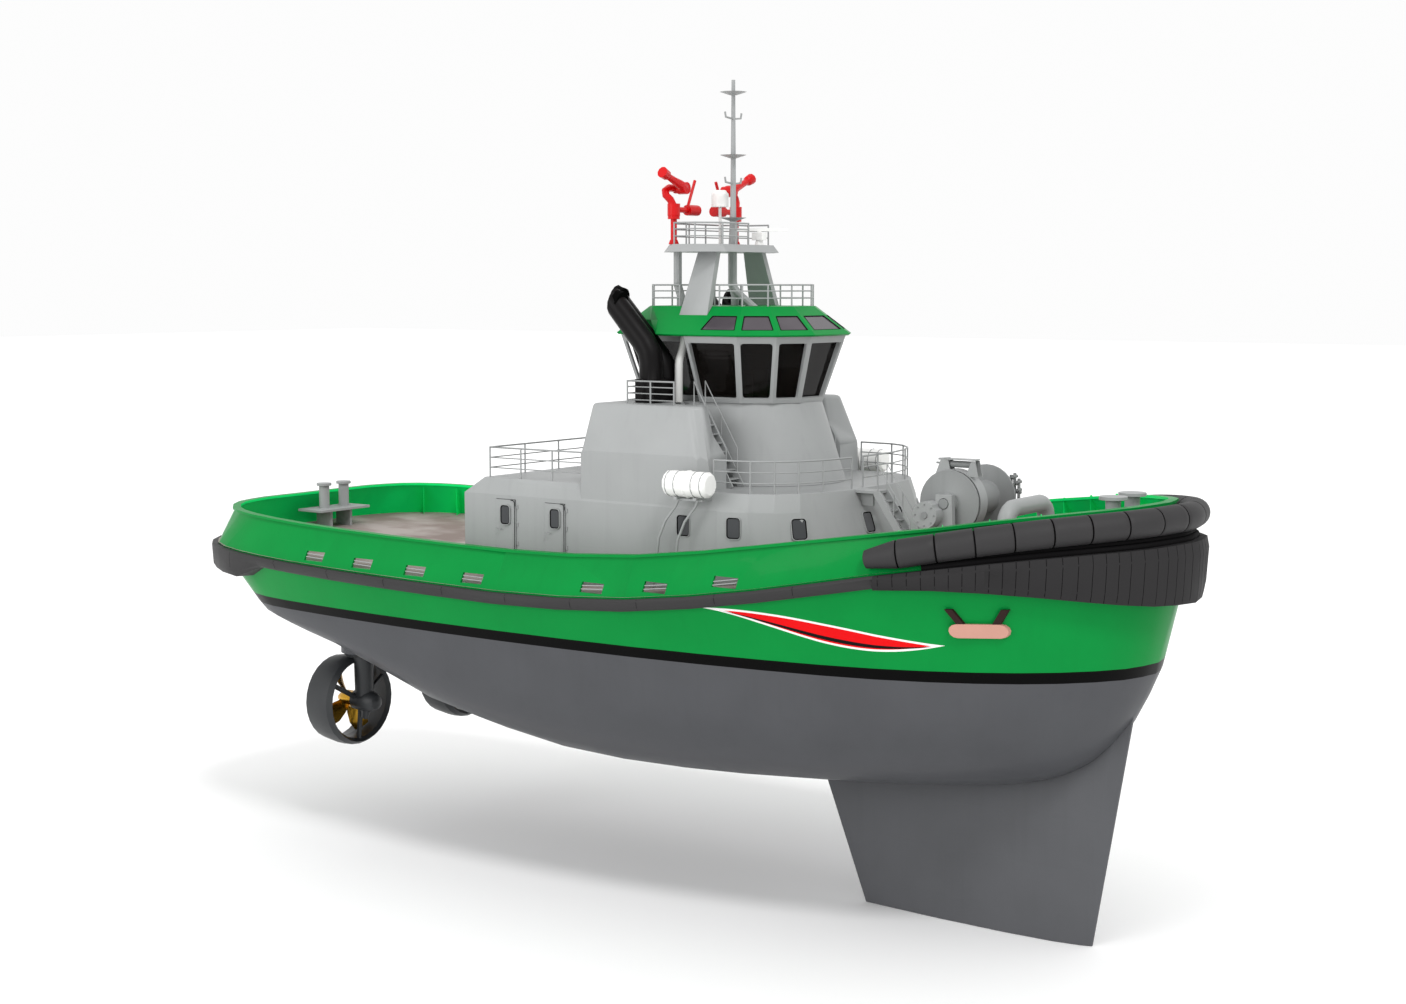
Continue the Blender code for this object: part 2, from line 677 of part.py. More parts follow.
def wall_window(low_a, low_b, high_a, high_b, margin, foot=0.063, head=0.10, deep=0.6):
    """A cutter through one raked wall between two sill corners and two head corners."""
    low_a, low_b, high_a, high_b = [Vector(p) for p in (low_a, low_b, high_a, high_b)]
    across = (low_b - low_a).normalized()
    up_a, up_b = (high_a - low_a), (high_b - low_b)
    out = across.cross(up_a).normalized() * deep
    corners = []
    for base, up, push in ((low_a, up_a, margin), (low_b, up_b, -margin)):
        corners.append((base + up * foot + across * push, base + up * (1 - head) + across * push))
    ring_in = [corners[0][0] - out, corners[1][0] - out, corners[1][1] - out, corners[0][1] - out]
    ring_out = [corners[0][0] + out, corners[1][0] + out, corners[1][1] + out, corners[0][1] + out]
    return loft([ring_in, ring_out], "window", None, CUTTERS)


def make_wheelhouse():
    """Raked window band with a post at each corner, open above and below the frames."""
    base_z = BRIDGE_Z + GAP
    frame = polygon_body(SILL_PLAN, base_z, HEAD_PLAN, HEAD_Z, "wheelhouse", GREY)
    room = polygon_body(inward(SILL_PLAN, 0.11), base_z + 0.06, inward(HEAD_PLAN, 0.11), HEAD_Z + 0.2,
                        "room", None, CUTTERS)
    cut(frame, [room])
    windows = []
    pairs = list(zip(range(len(SILL_PLAN)), range(1, len(SILL_PLAN))))
    for side in (-1, 1):
        for i, j in pairs:
            low = [(*SILL_PLAN[k], base_z) for k in (i, j)]
            high = [(*HEAD_PLAN[k], HEAD_Z) for k in (i, j)]
            corners = [(x, side * y, z) for x, y, z in low + high]
            margin = 0.22 if i == 1 else 0.1
            windows.append(wall_window(*corners, margin))
    for end in (0, -1):
        low, high = SILL_PLAN[end], HEAD_PLAN[end]
        corners = [(low[0], -low[1], base_z), (low[0], low[1], base_z),
                   (high[0], -high[1], HEAD_Z), (high[0], high[1], HEAD_Z)]
        windows.append(wall_window(*corners, 0.1))
    cut(frame, windows)
    return frame


make_wheelhouse()


def make_glazing():
    """One band of glass standing just inside the window frames."""
    low, high = BRIDGE_Z + 0.0606, HEAD_Z + 0.2
    glass = polygon_body(inward(SILL_PLAN, 0.12), low, inward(HEAD_PLAN, 0.12), high, "wheelhouse_glazing", GLASS)
    core = polygon_body(inward(SILL_PLAN, 0.14), low, inward(HEAD_PLAN, 0.14), high, "core", None, CUTTERS)
    above = span((-3, -4, HEAD_Z - 0.01), (7, 4, high + 1), "above", None, CUTTERS)
    below = span((-3, -4, low - 1), (7, 4, low), "below", None, CUTTERS)
    cut(glass, [core, above, below])


make_glazing()


def roof_body(name, material, collection=PARTS, move=0.0):
    rings = []
    plans = (SOFFIT_PLAN, EAVE_PLAN, VISOR_PLAN, ROOF_PLAN)
    for plan, z in zip(plans, (HEAD_Z + GAP, EAVE_Z, (EAVE_Z + ROOF_Z) / 2, ROOF_Z)):
        whole = list(plan) + [(x, -y) for x, y in reversed(plan)]
        rings.append([(x, y, z + move) for x, y in whole])
    return loft(rings, name, material, collection)


def roof_room(name, inset, material=None, collection=CUTTERS):
    """The room under the visor roof: upright below the eave, then following the slopes to the ceiling."""
    rings = []
    for plan, z in ((HOLLOW_PLAN, HEAD_Z - 0.2), (HOLLOW_PLAN, EAVE_Z + 0.04), (CEILING_PLAN, CEILING_Z)):
        half = inward(plan, inset)
        rings.append([(x, y, z) for x, y in half] + [(x, -y, z) for x, y in reversed(half)])
    return loft(rings, name, material, collection)


def make_roof():
    """Visor roof: a hollow cap with sloping sides and a window in each forward slope."""
    roof = roof_body("wheelhouse_roof", GREEN)
    cut(roof, [roof_room("roof_hollow", 0)])
    lights = []
    side_low, side_high = (2.05, 2.78, EAVE_Z), (2.30, 1.80, ROOF_Z)
    for side in (-1, 1):
        slopes = [(side_low, (*EAVE_PLAN[3], EAVE_Z), side_high, (*ROOF_PLAN[3], ROOF_Z))]
        for i, j in ((3, 4), (4, 5)):
            slopes.append(((*EAVE_PLAN[i], EAVE_Z), (*EAVE_PLAN[j], EAVE_Z),
                           (*ROOF_PLAN[i], ROOF_Z), (*ROOF_PLAN[j], ROOF_Z)))
        for slope in slopes:
            corners = [(x, side * y, z) for x, y, z in slope]
            lights.append(wall_window(*corners, 0.12, 0.18, 0.34, 0.45))
    front = [(EAVE_PLAN[-1][0], s * EAVE_PLAN[-1][1], EAVE_Z) for s in (-1, 1)]
    front += [(ROOF_PLAN[-1][0], s * ROOF_PLAN[-1][1], ROOF_Z) for s in (-1, 1)]
    lights.append(wall_window(*front, 0.16, 0.18, 0.34, 0.45))
    cut(roof, lights)


make_roof()
ROOF_CUTTER = roof_body("roof_cutter", None, CUTTERS, move=GAP)


def make_skylights():
    """One sheet of glass behind the visor's windows, on the roof's inner slope."""
    glass = roof_room("skylight_glazing", 0.0006, GLASS, PARTS)
    core = roof_room("core", 0.026)
    lid = span((-3, -3, CEILING_Z - 0.03), (6, 3, CEILING_Z + 1), "lid", None, CUTTERS)
    aft = span((-3, -3, HEAD_Z - 1), (1.95, 3, CEILING_Z + 1), "aft_cut", None, CUTTERS)
    under = span((-3, -3, HEAD_Z - 1), (6, 3, HEAD_Z + 0.01), "under_cut", None, CUTTERS)
    cut(glass, [core, lid, aft, under])


make_skylights()


def make_bridge_fittings():
    """Helm console and two chairs on their pedestals, joined by the bridge's floor plate."""
    floor = BRIDGE_Z + 0.06 + 2 * GAP
    pieces = [
        span((0.2, -1.1, floor), (3.9, 1.1, floor + 0.05)),
        span((3.0, -1.0, floor + 0.04), (3.6, 1.0, floor + 0.95)),
        span((2.1, -1.05, floor + 0.04), (3.1, -0.75, floor + 0.8)),
        span((2.1, 0.75, floor + 0.04), (3.1, 1.05, floor + 0.8)),
    ]
    for y in (-0.38, 0.38):
        pieces.append(rod((2.2, y, floor + 0.03), (2.2, y, floor + 0.5), 0.09, sides=8))
        pieces.append(span((1.95, y - 0.24, floor + 0.45), (2.45, y + 0.24, floor + 0.6)))
        pieces.append(span((1.88, y - 0.22, floor + 0.5), (2.02, y + 0.22, floor + 1.35)))
    join("bridge_fittings", pieces, INTERIOR)


make_bridge_fittings()

# Thrusters and propellers

def make_thruster(side_name, side):
    """Steerable unit: leg, gear pod facing forward, and a nozzle held by the pod's struts."""
    centre = Vector((THRUSTER_X, side * THRUSTER_Y, THRUSTER_Z))
    along = Matrix.Translation(centre) @ Matrix.Rotation(math.pi / 2, 4, "Y")
    inner = PROPELLER_RADIUS + 0.04
    nozzle_profile = ((NOZZLE_OUTER - 0.02, 0.45), (inner + 0.13, 0.65), (inner + 0.02, 0.5), (inner, 0.15),
                      (inner, -0.2), (inner + 0.08, -0.65), (NOZZLE_OUTER - 0.1, -0.6), (NOZZLE_OUTER, 0.1))
    nozzle = turned(nozzle_profile, 28, along, "nozzle", DARK_STEEL)
    pod_rings = []
    for radius, ahead in ((0.10, 1.42), (0.26, 1.34), (0.36, 1.1), (0.38, 0.75), (0.34, 0.34)):
        pod_rings.append([centre + Vector((ahead, radius * math.cos(2 * math.pi * k / 14),
                                           radius * math.sin(2 * math.pi * k / 14))) for k in range(14)])
    pod = loft(pod_rings, "pod", DARK_STEEL)
    top = Vector((STEER_X, centre.y, SEAT_Z - GAP))
    leg = rod(Vector((STEER_X, centre.y, centre.z)), top - Vector((0, 0, 0.1)), 0.32, 0.36, 14)
    collar = rod(top - Vector((0, 0, 0.14)), top, 0.62, 0.72, 20)
    pieces = [pod, leg, collar]
    for y, z in ((0, -1), (0.87, 0.5), (-0.87, 0.5)):
        start = centre + Vector((0.55, y * 0.25, z * 0.25))
        end = centre + Vector((0.45, y * (inner + 0.12), z * (inner + 0.12)))
        pieces.append(rod(start, end, 0.09, sides=6))
    pieces.append(nozzle)
    bulb = rod(centre + Vector((0.85, 0, -0.2)), centre + Vector((0.75, 0, -0.62)), 0.2, 0.12, 8)
    pieces.append(bulb)
    return join(f"thruster_{side_name}", pieces, DARK_STEEL)


def make_propeller(side_name, side):
    """Four-bladed propeller in its nozzle, turning on the pod's shaft."""
    centre = Vector((THRUSTER_X, side * THRUSTER_Y, THRUSTER_Z))
    hub_rings = []
    for radius, ahead in ((0.30, 0.3395), (0.30, -0.05), (0.22, -0.3), (0.07, -0.5)):
        hub_rings.append([centre + Vector((ahead, radius * math.cos(2 * math.pi * k / 12),
                                           radius * math.sin(2 * math.pi * k / 12))) for k in range(12)])
    pieces = [loft(hub_rings, "hub", BRONZE)]
    for k in range(4):
        spin = Matrix.Rotation(math.pi / 2 * k + 0.5, 4, "X")
        rings = []
        for radius, chord, pitch in ((0.2, 0.34, 55), (0.55, 0.55, 42), (0.95, 0.68, 30), (1.29, 0.55, 22)):
            angle = math.radians(pitch) * side
            thick = 0.07 - 0.03 * radius
            ring = []
            for u, v in ((-0.5, 0), (-0.2, 1), (0.25, 0.8), (0.5, 0), (0.25, -0.5), (-0.2, -0.5)):
                x = u * chord * math.sin(angle) - v * thick * math.cos(angle)
                y = u * chord * math.cos(angle) + v * thick * math.sin(angle)
                z = math.sqrt(max(radius ** 2 - y ** 2, 0.01))
                ring.append(spin @ Vector((x, y, z)) + centre)
            rings.append(ring)
        pieces.append(loft(rings, "blade", BRONZE))
    return join(f"propeller_{side_name}", pieces, BRONZE)


for name, side in SIDES:
    make_thruster(name, side)
    make_propeller(name, side)

# Funnels, vent pipes and mast

# One exhaust pipe a row: its y and x, the height of its bend and the x of its slanting end
FUNNEL_PIPES = ((2.39, 0.68, 8.43, -1.12), (3.15, 0.74, 8.83, -0.60))
FUNNEL_LEAN = math.radians(42)
TRUNK_TOP = 8.05


def make_funnel(side_name, side):
    """Two exhaust pipes in one trunk on the casing, bent aft, with ends cut nearly upright."""
    trunk = [(x, side * y, BRIDGE_Z + GAP) for x, y in ((0.37, 2.06), (0.37, 3.50), (1.08, 3.50), (1.08, 2.06))]
    lid = [(x, y, TRUNK_TOP) for x, y, _ in trunk]
    pieces = [loft([trunk, lid], "trunk", BLACK)]
    for row in FUNNEL_PIPES:
        y, x, bend_z, end_x = row
        y *= side
        run = x - end_x + 0.5
        rise = run / math.tan(FUNNEL_LEAN)
        points = [(x, y, BRIDGE_Z + 0.02), (x, y, bend_z - 0.25), (x - 0.07, y, bend_z + 0.05),
                  (x - 0.25, y, bend_z + 0.32), (x - run, y, bend_z + rise)]
        pipe = tube(points, (0.38, 0.38, 0.38, 0.38, 0.35), "pipe", BLACK, 12)
        cutter = box((2, 1, 4), (end_x - 1.0, y, bend_z + rise), Matrix.Rotation(math.radians(14), 4, "Y"),
                     "slant", None, CUTTERS)
        cut(pipe, [cutter])
        pieces.append(pipe)
    join(f"funnel_{side_name}", pieces, BLACK)


def make_vent(side_name, side):
    """White vent pipe with a double bend, in the recess beside the wheelhouse."""
    points = [(1.27, side * 2.30, BRIDGE_Z + GAP), (1.27, side * 2.30, 8.3), (1.23, side * 2.22, 8.7),
              (1.19, side * 2.20, 8.95), (1.19, side * 2.20, HEAD_Z)]
    tube(points, 0.13, f"vent_pipe_{side_name}", WHITE, 10)


for name, side in SIDES:
    make_funnel(name, side)
    make_vent(name, side)

PLATFORM_PLAN = ((0.03, 1.5), (0.75, 2.3), (1.7, 2.3), (2.41, 1.5))
PLATFORM_THICK = 0.24
MAST_X, MAST_TOP = 1.65, 17.34


def make_platform():
    """Monitor platform on two raked plate legs, two fire-main risers and the mast's bent trunk."""
    low = PLATFORM_Z - PLATFORM_THICK
    into = low + 0.05
    deck = polygon_body(PLATFORM_PLAN, low, inward(PLATFORM_PLAN, 0.17), PLATFORM_Z, "platform", GREY)
    pieces = [deck]
    for side in (-1, 1):
        foot = [(x, side * y, 9.9) for x, y in ((1.05, 1.93), (2.12, 1.93), (2.12, 2.15), (1.05, 2.15))]
        head = [(x, side * y, into) for x, y in ((1.27, 1.15), (1.97, 1.15), (1.97, 1.37), (1.27, 1.37))]
        pieces.append(loft([foot, head], "leg", GREY))
        x, y = MONITOR_X, side * 1.52
        riser = [(x + 0.12, y, ROOF_Z - 0.05), (x + 0.12, y, 10.6), (x, y, 10.95), (x, y, into)]
        pieces.append(tube(riser, 0.13, "riser", GREY, 10))
    trunk = [(MAST_X + 0.85, 0, ROOF_Z - 0.1), (MAST_X + 0.2, 0, 10.66), (MAST_X + 0.04, 0, 10.85),
             (MAST_X, 0, 11.05), (MAST_X, 0, into)]
    pieces.append(tube(trunk, 0.13, "trunk", GREY, 10))
    platform = join("monitor_platform", pieces, GREY)
    cut(platform, [ROOF_CUTTER], keep=True)


make_platform()


def make_mast():
    """Signal mast with dished spreaders and two crossarms with upturned ends."""
    foot = PLATFORM_Z + GAP
    pieces = [rod((MAST_X, 0, foot), (MAST_X, 0, 13.0), 0.15, 0.11, 10),
              rod((MAST_X, 0, 12.95), (MAST_X, 0, MAST_TOP), 0.10, 0.06, 10)]
    for z in (16.97, 15.01, 13.05):
        pieces.append(rod((MAST_X, 0, z - 0.1), (MAST_X, 0, z), 0.12, 0.43, 12))
    for z in (16.13, 14.11):
        arm = [(MAST_X, -0.46, z + 0.2), (MAST_X, -0.42, z + 0.04), (MAST_X, 0, z),
               (MAST_X, 0.42, z + 0.04), (MAST_X, 0.46, z + 0.2)]
        pieces.append(tube(arm, 0.035, "arm", GREY, 6))
    join("signal_mast", pieces, GREY)


make_mast()

DOME_X, DOME_Y = 1.08, 0.1


def make_dome():
    """Satellite dome, a round can on a thin post beside the mast."""
    foot = PLATFORM_Z + GAP
    pieces = [rod((DOME_X, DOME_Y, foot), (DOME_X, DOME_Y, 13.45), 0.05, sides=8),
              rod((DOME_X, DOME_Y, 13.4), (DOME_X, DOME_Y, 13.82), 0.28, sides=16),
              rod((DOME_X, DOME_Y, 13.8), (DOME_X, DOME_Y, 13.93), 0.28, 0.18, 16)]
    join("satellite_dome", pieces, WHITE)


make_dome()

RADAR_X, RADAR_Y, RADAR_Z = 1.95, 1.05, 12.6
RADAR_TURN = math.radians(-55)


def make_radar():
    """Open-array radar: a pedestal with a gear box, and the turning scanner bar."""
    x, y, top = RADAR_X, RADAR_Y, RADAR_Z
    base = [rod((x, y, PLATFORM_Z + GAP), (x, y, top - 0.2), 0.16, 0.09, 10),
            span((x - 0.2, y - 0.14, top - 0.24), (x + 0.2, y + 0.14, top - GAP))]
    join("radar_base", base, WHITE)
    bar = [box((0.12, 1.78, 0.1), (0, 0, 0.09)), rod((0, 0, 0), (0, 0, 0.06), 0.07, sides=10)]
    scanner = join("radar_scanner", bar, WHITE)
    scanner.matrix_world = Matrix.Translation((x, y, top)) @ Matrix.Rotation(RADAR_TURN, 4, "Z")


make_radar()

# Fire monitors: the train axis stands on the riser and the elevation axis runs fore and aft
TRAIN_Z = 13.08             # top of the riser's collar
ELEVATE_Y, ELEVATE_Z = 1.33, 13.95
SWIVEL_X = 0.50             # plane between the elbow's hub and the barrel's


def make_monitor(side_name, side):
    """Fire monitor: fixed riser, a body that trains round it, and a barrel that elevates."""
    x, y = MONITOR_X, MONITOR_Y
    foot = PLATFORM_Z + GAP

    def at(place_x, out, z):
        return (place_x, side * out, z)

    riser = [rod(at(x, y, foot), at(x, y, foot + 0.14), 0.17, 0.12, 12),
             rod(at(x, y, foot + 0.1), at(x, y, TRAIN_Z - 0.03), 0.10, sides=12),
             rod(at(x, y, TRAIN_Z - 0.1), at(x, y, TRAIN_Z), 0.19, sides=12)]
    join(f"monitor_riser_{side_name}", riser, RED)

    start = TRAIN_Z + GAP
    loop = [at(x, y, start + 0.3), at(x - 0.05, 1.84, 13.58), at(x - 0.15, 1.94, 13.72),
            at(x - 0.2, 1.90, 13.86), at(x - 0.2, 1.70, 13.95), at(x - 0.2, ELEVATE_Y, ELEVATE_Z)]
    body = [rod(at(x, y, start), at(x, y, start + 0.38), 0.2, sides=12),
            tube(loop, 0.12, "loop", RED, 10),
            rod(at(SWIVEL_X - 0.16, ELEVATE_Y, ELEVATE_Z), at(SWIVEL_X, ELEVATE_Y, ELEVATE_Z), 0.16, sides=12),
            rod(at(x, y - 0.1, start + 0.2), at(x, 0.95, start + 0.2), 0.09, sides=8),
            rod(at(x, 1.02, start + 0.2), at(x, 0.45, start + 0.2), 0.17, sides=12),
            rod(at(x, 1.0, start + 0.25), at(x, 0.58, 14.22), 0.05, sides=6)]
    join(f"monitor_body_{side_name}", body, RED)

    hub_x = SWIVEL_X + GAP
    run = ((0, 0), (0.2, 0.1), (0.5, 0.2), (0.85, 0.33), (0.92, 0.36), (1.16, 0.45))     # outward and up
    pipe = [(0.19, side * out, up) for out, up in run]
    barrel = [rod((0, 0, 0), (0.32, 0, 0), 0.19, sides=12),
              tube(pipe, (0.16, 0.15, 0.12, 0.1, 0.16, 0.18), "pipe", RED, 10)]
    made = join(f"monitor_barrel_{side_name}", barrel, RED)
    made.location = at(hub_x, ELEVATE_Y, ELEVATE_Z)


for name, side in SIDES:
    make_monitor(name, side)

# Rails, stairs, life rafts

def make_rail(name, path, heights, closed=False, bar=RAIL_BAR):
    """Guard rail: a lattice of posts at the path's points and bars between them, given thickness."""
    levels = [0.0]
    for height in heights:
        levels += [height - bar, height]
    built = bmesh.new()
    columns = []
    count = len(path)
    for i, point in enumerate(path):
        point = Vector(point)
        before = Vector(path[i - 1]) if i or closed else None
        after = Vector(path[(i + 1) % count]) if i < count - 1 or closed else None
        back = (before - point) if before else None
        forth = (after - point) if after else None
        for step in (back, forth):
            if step:
                step.z = 0
                step.normalize()
        left = point + (back * bar / 2 if back else Vector())
        right = point + (forth * bar / 2 if forth else Vector())
        if not back:
            left = point - forth * bar / 2
        if not forth:
            right = point - back * bar / 2
        columns.append([[built.verts.new((p.x, p.y, p.z + z)) for z in levels] for p in (left, right)])
    for i in range(count):
        left, right = columns[i]
        for k in range(len(levels) - 1):
            built.faces.new((left[k], right[k], right[k + 1], left[k + 1]))
        if i < count - 1 or closed:
            following = columns[(i + 1) % count][0]
            for k in range(1, len(levels) - 1, 2):
                built.faces.new((right[k], following[k], following[k + 1], right[k + 1]))
    rail = from_bmesh(name, built, GREY)
    thicken = rail.modifiers.new("thickness", "SOLIDIFY")
    thicken.thickness = bar
    thicken.offset = 0
    thicken.use_even_offset = True
    return rail


def spaced(corners, gap):
    """Points along a chain of corners, no further apart than a gap."""
    points = [Vector(corners[0])]
    for start, end in zip(corners, corners[1:]):
        start, end = Vector(start), Vector(end)
        parts = max(1, math.ceil((end - start).length / gap))
        points += [start.lerp(end, k / parts) for k in range(1, parts + 1)]
    return points


THREE_BARS = (0.3, 0.62, 0.97)
FUNNEL_BARS = (0.1, 0.3, 0.5, 0.7)
LOW_BARS = (0.25, 0.47, 0.68)


def level(points, z):
    """Plan points as places just above a level floor."""
    return [(x, y, z + GAP) for x, y in points]


def make_rails():
    make_rail("aft_rail", spaced(level(((-0.96, -4.36), (-4.8, -4.36), (-4.8, 4.36), (-0.96, 4.36)),
                                       BOAT_DECK_Z), 1.9), THREE_BARS)
    edge = [(x, y) for x, y, _ in house_ring(0, 0, 0, 4.4, 6.95, inset=0.1)][2:len(ROUND_TURNS) + 1]
    edge = [(3.88, 4.3)] + edge
    landing_y = LANDING[1] - 0.06, LANDING[3] + 0.06
    port = edge + [(edge[-1][0], landing_y[1])]
    starboard = [(x, -y) for x, y in edge]
    make_rail("forward_rail_port", spaced(level(port, BOAT_DECK_Z), 1.6), THREE_BARS)
    make_rail("forward_rail_starboard", spaced(level(starboard, BOAT_DECK_Z), 1.6), THREE_BARS)
    for side_name, side in SIDES:
        path = [(0.18, side * 2.05), (0.18, side * 3.64), (1.95, side * 3.64)]
        make_rail(f"funnel_rail_{side_name}", spaced(level(path, BRIDGE_Z), 1.0), FUNNEL_BARS)
    edge = [(3.17, 1.74), (3.83, 1.31), (4.22, 0.57)]
    front = [(2.32, 1.74)] + edge + [(x, -y) for x, y in reversed(edge)] + [(2.32, -1.74)]
    make_rail("roof_rail_forward", spaced(level(front, ROOF_Z), 1.2), LOW_BARS)
    aft = [(0.8, 1.72), (-0.22, 1.69), (-0.73, 1.06)]
    aft += [(x, -y) for x, y in reversed(aft)]
    make_rail("roof_rail_aft", spaced(level(aft, ROOF_Z), 1.2), LOW_BARS)
    path = [(2.2, 0.05), (2.2, -1.39), (1.63, -2.07), (0.84, -2.07), (0.84, -1.42), (0.27, -1.38),
            (0.27, 1.38), (0.84, 1.42), (0.84, 2.07), (1.63, 2.07)]
    make_rail("platform_rail", spaced(level(path, PLATFORM_Z), 1.0), LOW_BARS)


LANDING = (6.95, -1.22, 7.7, -0.62)     # low x, low y, high x, high y of the landing ahead of the boat deck

make_rails()


def make_stair(name, top, foot, wide, handrail=0.9):
    """Steep stair: two stringers, flat treads between them, and a handrail on posts each side."""
    top, foot = Vector(top), Vector(foot)
    along = foot - top
    across = Vector((0, wide / 2, 0))
    treads = round(abs(along.z) / 0.26)
    pieces = []
    for k in range(1, treads):
        spot = top + along * k / treads
        pieces.append(span(spot - across - Vector((0.1, 0, 0.02)), spot + across + Vector((0.1, 0, 0.02))))
    turn = Matrix.Rotation(math.atan2(-along.z, along.x), 4, "Y")
    for edge in (-1, 1):
        shift = across * edge
        centre = (top + foot) / 2 + shift
        pieces.append(box((along.length, 0.05, 0.22), centre, turn))
        high = Vector((0, 0, handrail))
        start, end = top + shift + along * 0.04, foot + shift - along * 0.12
        pieces.append(tube([start, start + high, end + high, end], 0.025, "handrail", GREY, 6))
        middle = (start + end) / 2
        pieces.append(rod(middle, middle + high, 0.02, sides=6))
    return join(name, pieces, GREY)


def make_stairs():
    for side_name, side in SIDES:
        y = side * 2.88
        stair = make_stair(f"casing_stair_{side_name}", (2.32, y, BRIDGE_Z - 0.12), (3.72, y, BOAT_DECK_Z), 0.6)
        cut(stair, [HOUSE_CUTTER], keep=True)


make_stairs()


def make_forward_stair():
    """Landing on a bracket ahead of the boat deck, with a stair down to the foredeck."""
    x0, y0, x1, y1 = LANDING
    y = (y0 + y1) / 2
    foot_x = 8.95
    stair = make_stair("forward_stair", (x1 - 0.06, y, BOAT_DECK_Z - 0.06), (foot_x, y, sheer(foot_x)), y1 - y0 - 0.06)
    landing = span((x0 - 0.2, y0, BOAT_DECK_Z - 0.1), (x1, y1, BOAT_DECK_Z - 0.02))
    bracket = span((x0 - 0.2, y - 0.05, BOAT_DECK_Z - 0.5), (x1 - 0.3, y + 0.05, BOAT_DECK_Z - 0.06))
    stair = join("forward_stair", [stair, landing, bracket], GREY)
    cut(stair, [HOUSE_CUTTER_WIDE, DECK_CUTTER], keep=True)


HOUSE_CUTTER_WIDE = house_body("house_side_cutter", -GAP, 0, None, CUTTERS)
make_forward_stair()

RAFT_X, RAFT_Y, RAFT_Z = 3.55, 5.12, 5.1
RAFT_PROFILE = ((-0.78, 0.3), (-0.7, 0.39), (-0.04, 0.39), (-0.02, 0.42), (0.02, 0.42), (0.04, 0.39),
                (0.7, 0.39), (0.78, 0.3))


def make_raft(side_name, side):
    """Life raft canister lying fore and aft, and its cradle of bent pipes standing on the deck."""
    y = side * RAFT_Y
    rings = []
    for along, radius in RAFT_PROFILE:
        ring = []
        for k in range(12):
            angle = 2 * math.pi * (k + 0.5) / 12
            ring.append((RAFT_X + along, y + radius * math.sin(angle), RAFT_Z + radius * math.cos(angle)))
        rings.append(ring)
    loft(rings, f"liferaft_{side_name}", WHITE)
    seat_z = RAFT_Z - 0.39 * math.cos(math.pi / 12) - GAP
    pieces = [span((RAFT_X - 0.5, y - 0.03, seat_z - 0.12), (RAFT_X + 0.5, y + 0.03, seat_z - 0.06))]
    for x in (RAFT_X - 0.35, RAFT_X + 0.35):
        pieces.append(span((x - 0.06, y - 0.22, seat_z - 0.08), (x + 0.06, y + 0.22, seat_z)))
        pieces.append(span((x - 0.04, side * 4.5, seat_z - 0.14), (x + 0.04, y, seat_z - 0.05))
                      if side > 0 else
                      span((x - 0.04, y, seat_z - 0.14), (x + 0.04, side * 4.5, seat_z - 0.05)))
        low = sheer(x - 0.95) - 0.05
        pipe = [(x, y, seat_z - 0.05), (x - 0.12, y, seat_z - 0.3), (x - 0.5, y, seat_z - 0.75),
                (x - 0.75, y, seat_z - 1.3), (x - 0.95, y, low)]
        pieces.append(tube(pipe, 0.04, "pipe", GREY, 8))
    cradle = join(f"liferaft_cradle_{side_name}", pieces, GREY)
    cut(cradle, [CASING_CUTTERS[side_name], HOUSE_CUTTER_WIDE, DECK_CUTTER], keep=True)


for name, side in SIDES:
    make_raft(name, side)

# Foredeck and stern gear

WINCH_FLANGE, WINCH_CORE, WINCH_HALF = 0.97, 0.5, 1.15
RIM_IN, RIM_STEP = 0.58, 0.03       # the brake rim's inboard face from the middle, and its step below the flange
SHAFT, SHAFT_HALF, CHEEK_IN, CHEEK_OUT = 0.15, 1.58, 1.35, 1.55     # the drum's shaft, and its bearing cheeks
WINCH_FOOT, WINCH_HEAD, BEAM_HIGH = 0.34, 0.26, 0.45
BEAM_NEAR, BEAM_FAR, BEAM_HALF = 0.6, 0.9, 1.7
GEAR_BACK, GEAR_DROP, GEAR_ROUND, GEAR_OUT = 0.41, 0.32, 0.4, 1.95      # the gear case by the drum's axis
MOTOR_ROUND, MOTOR_OUT = 0.45, 2.0


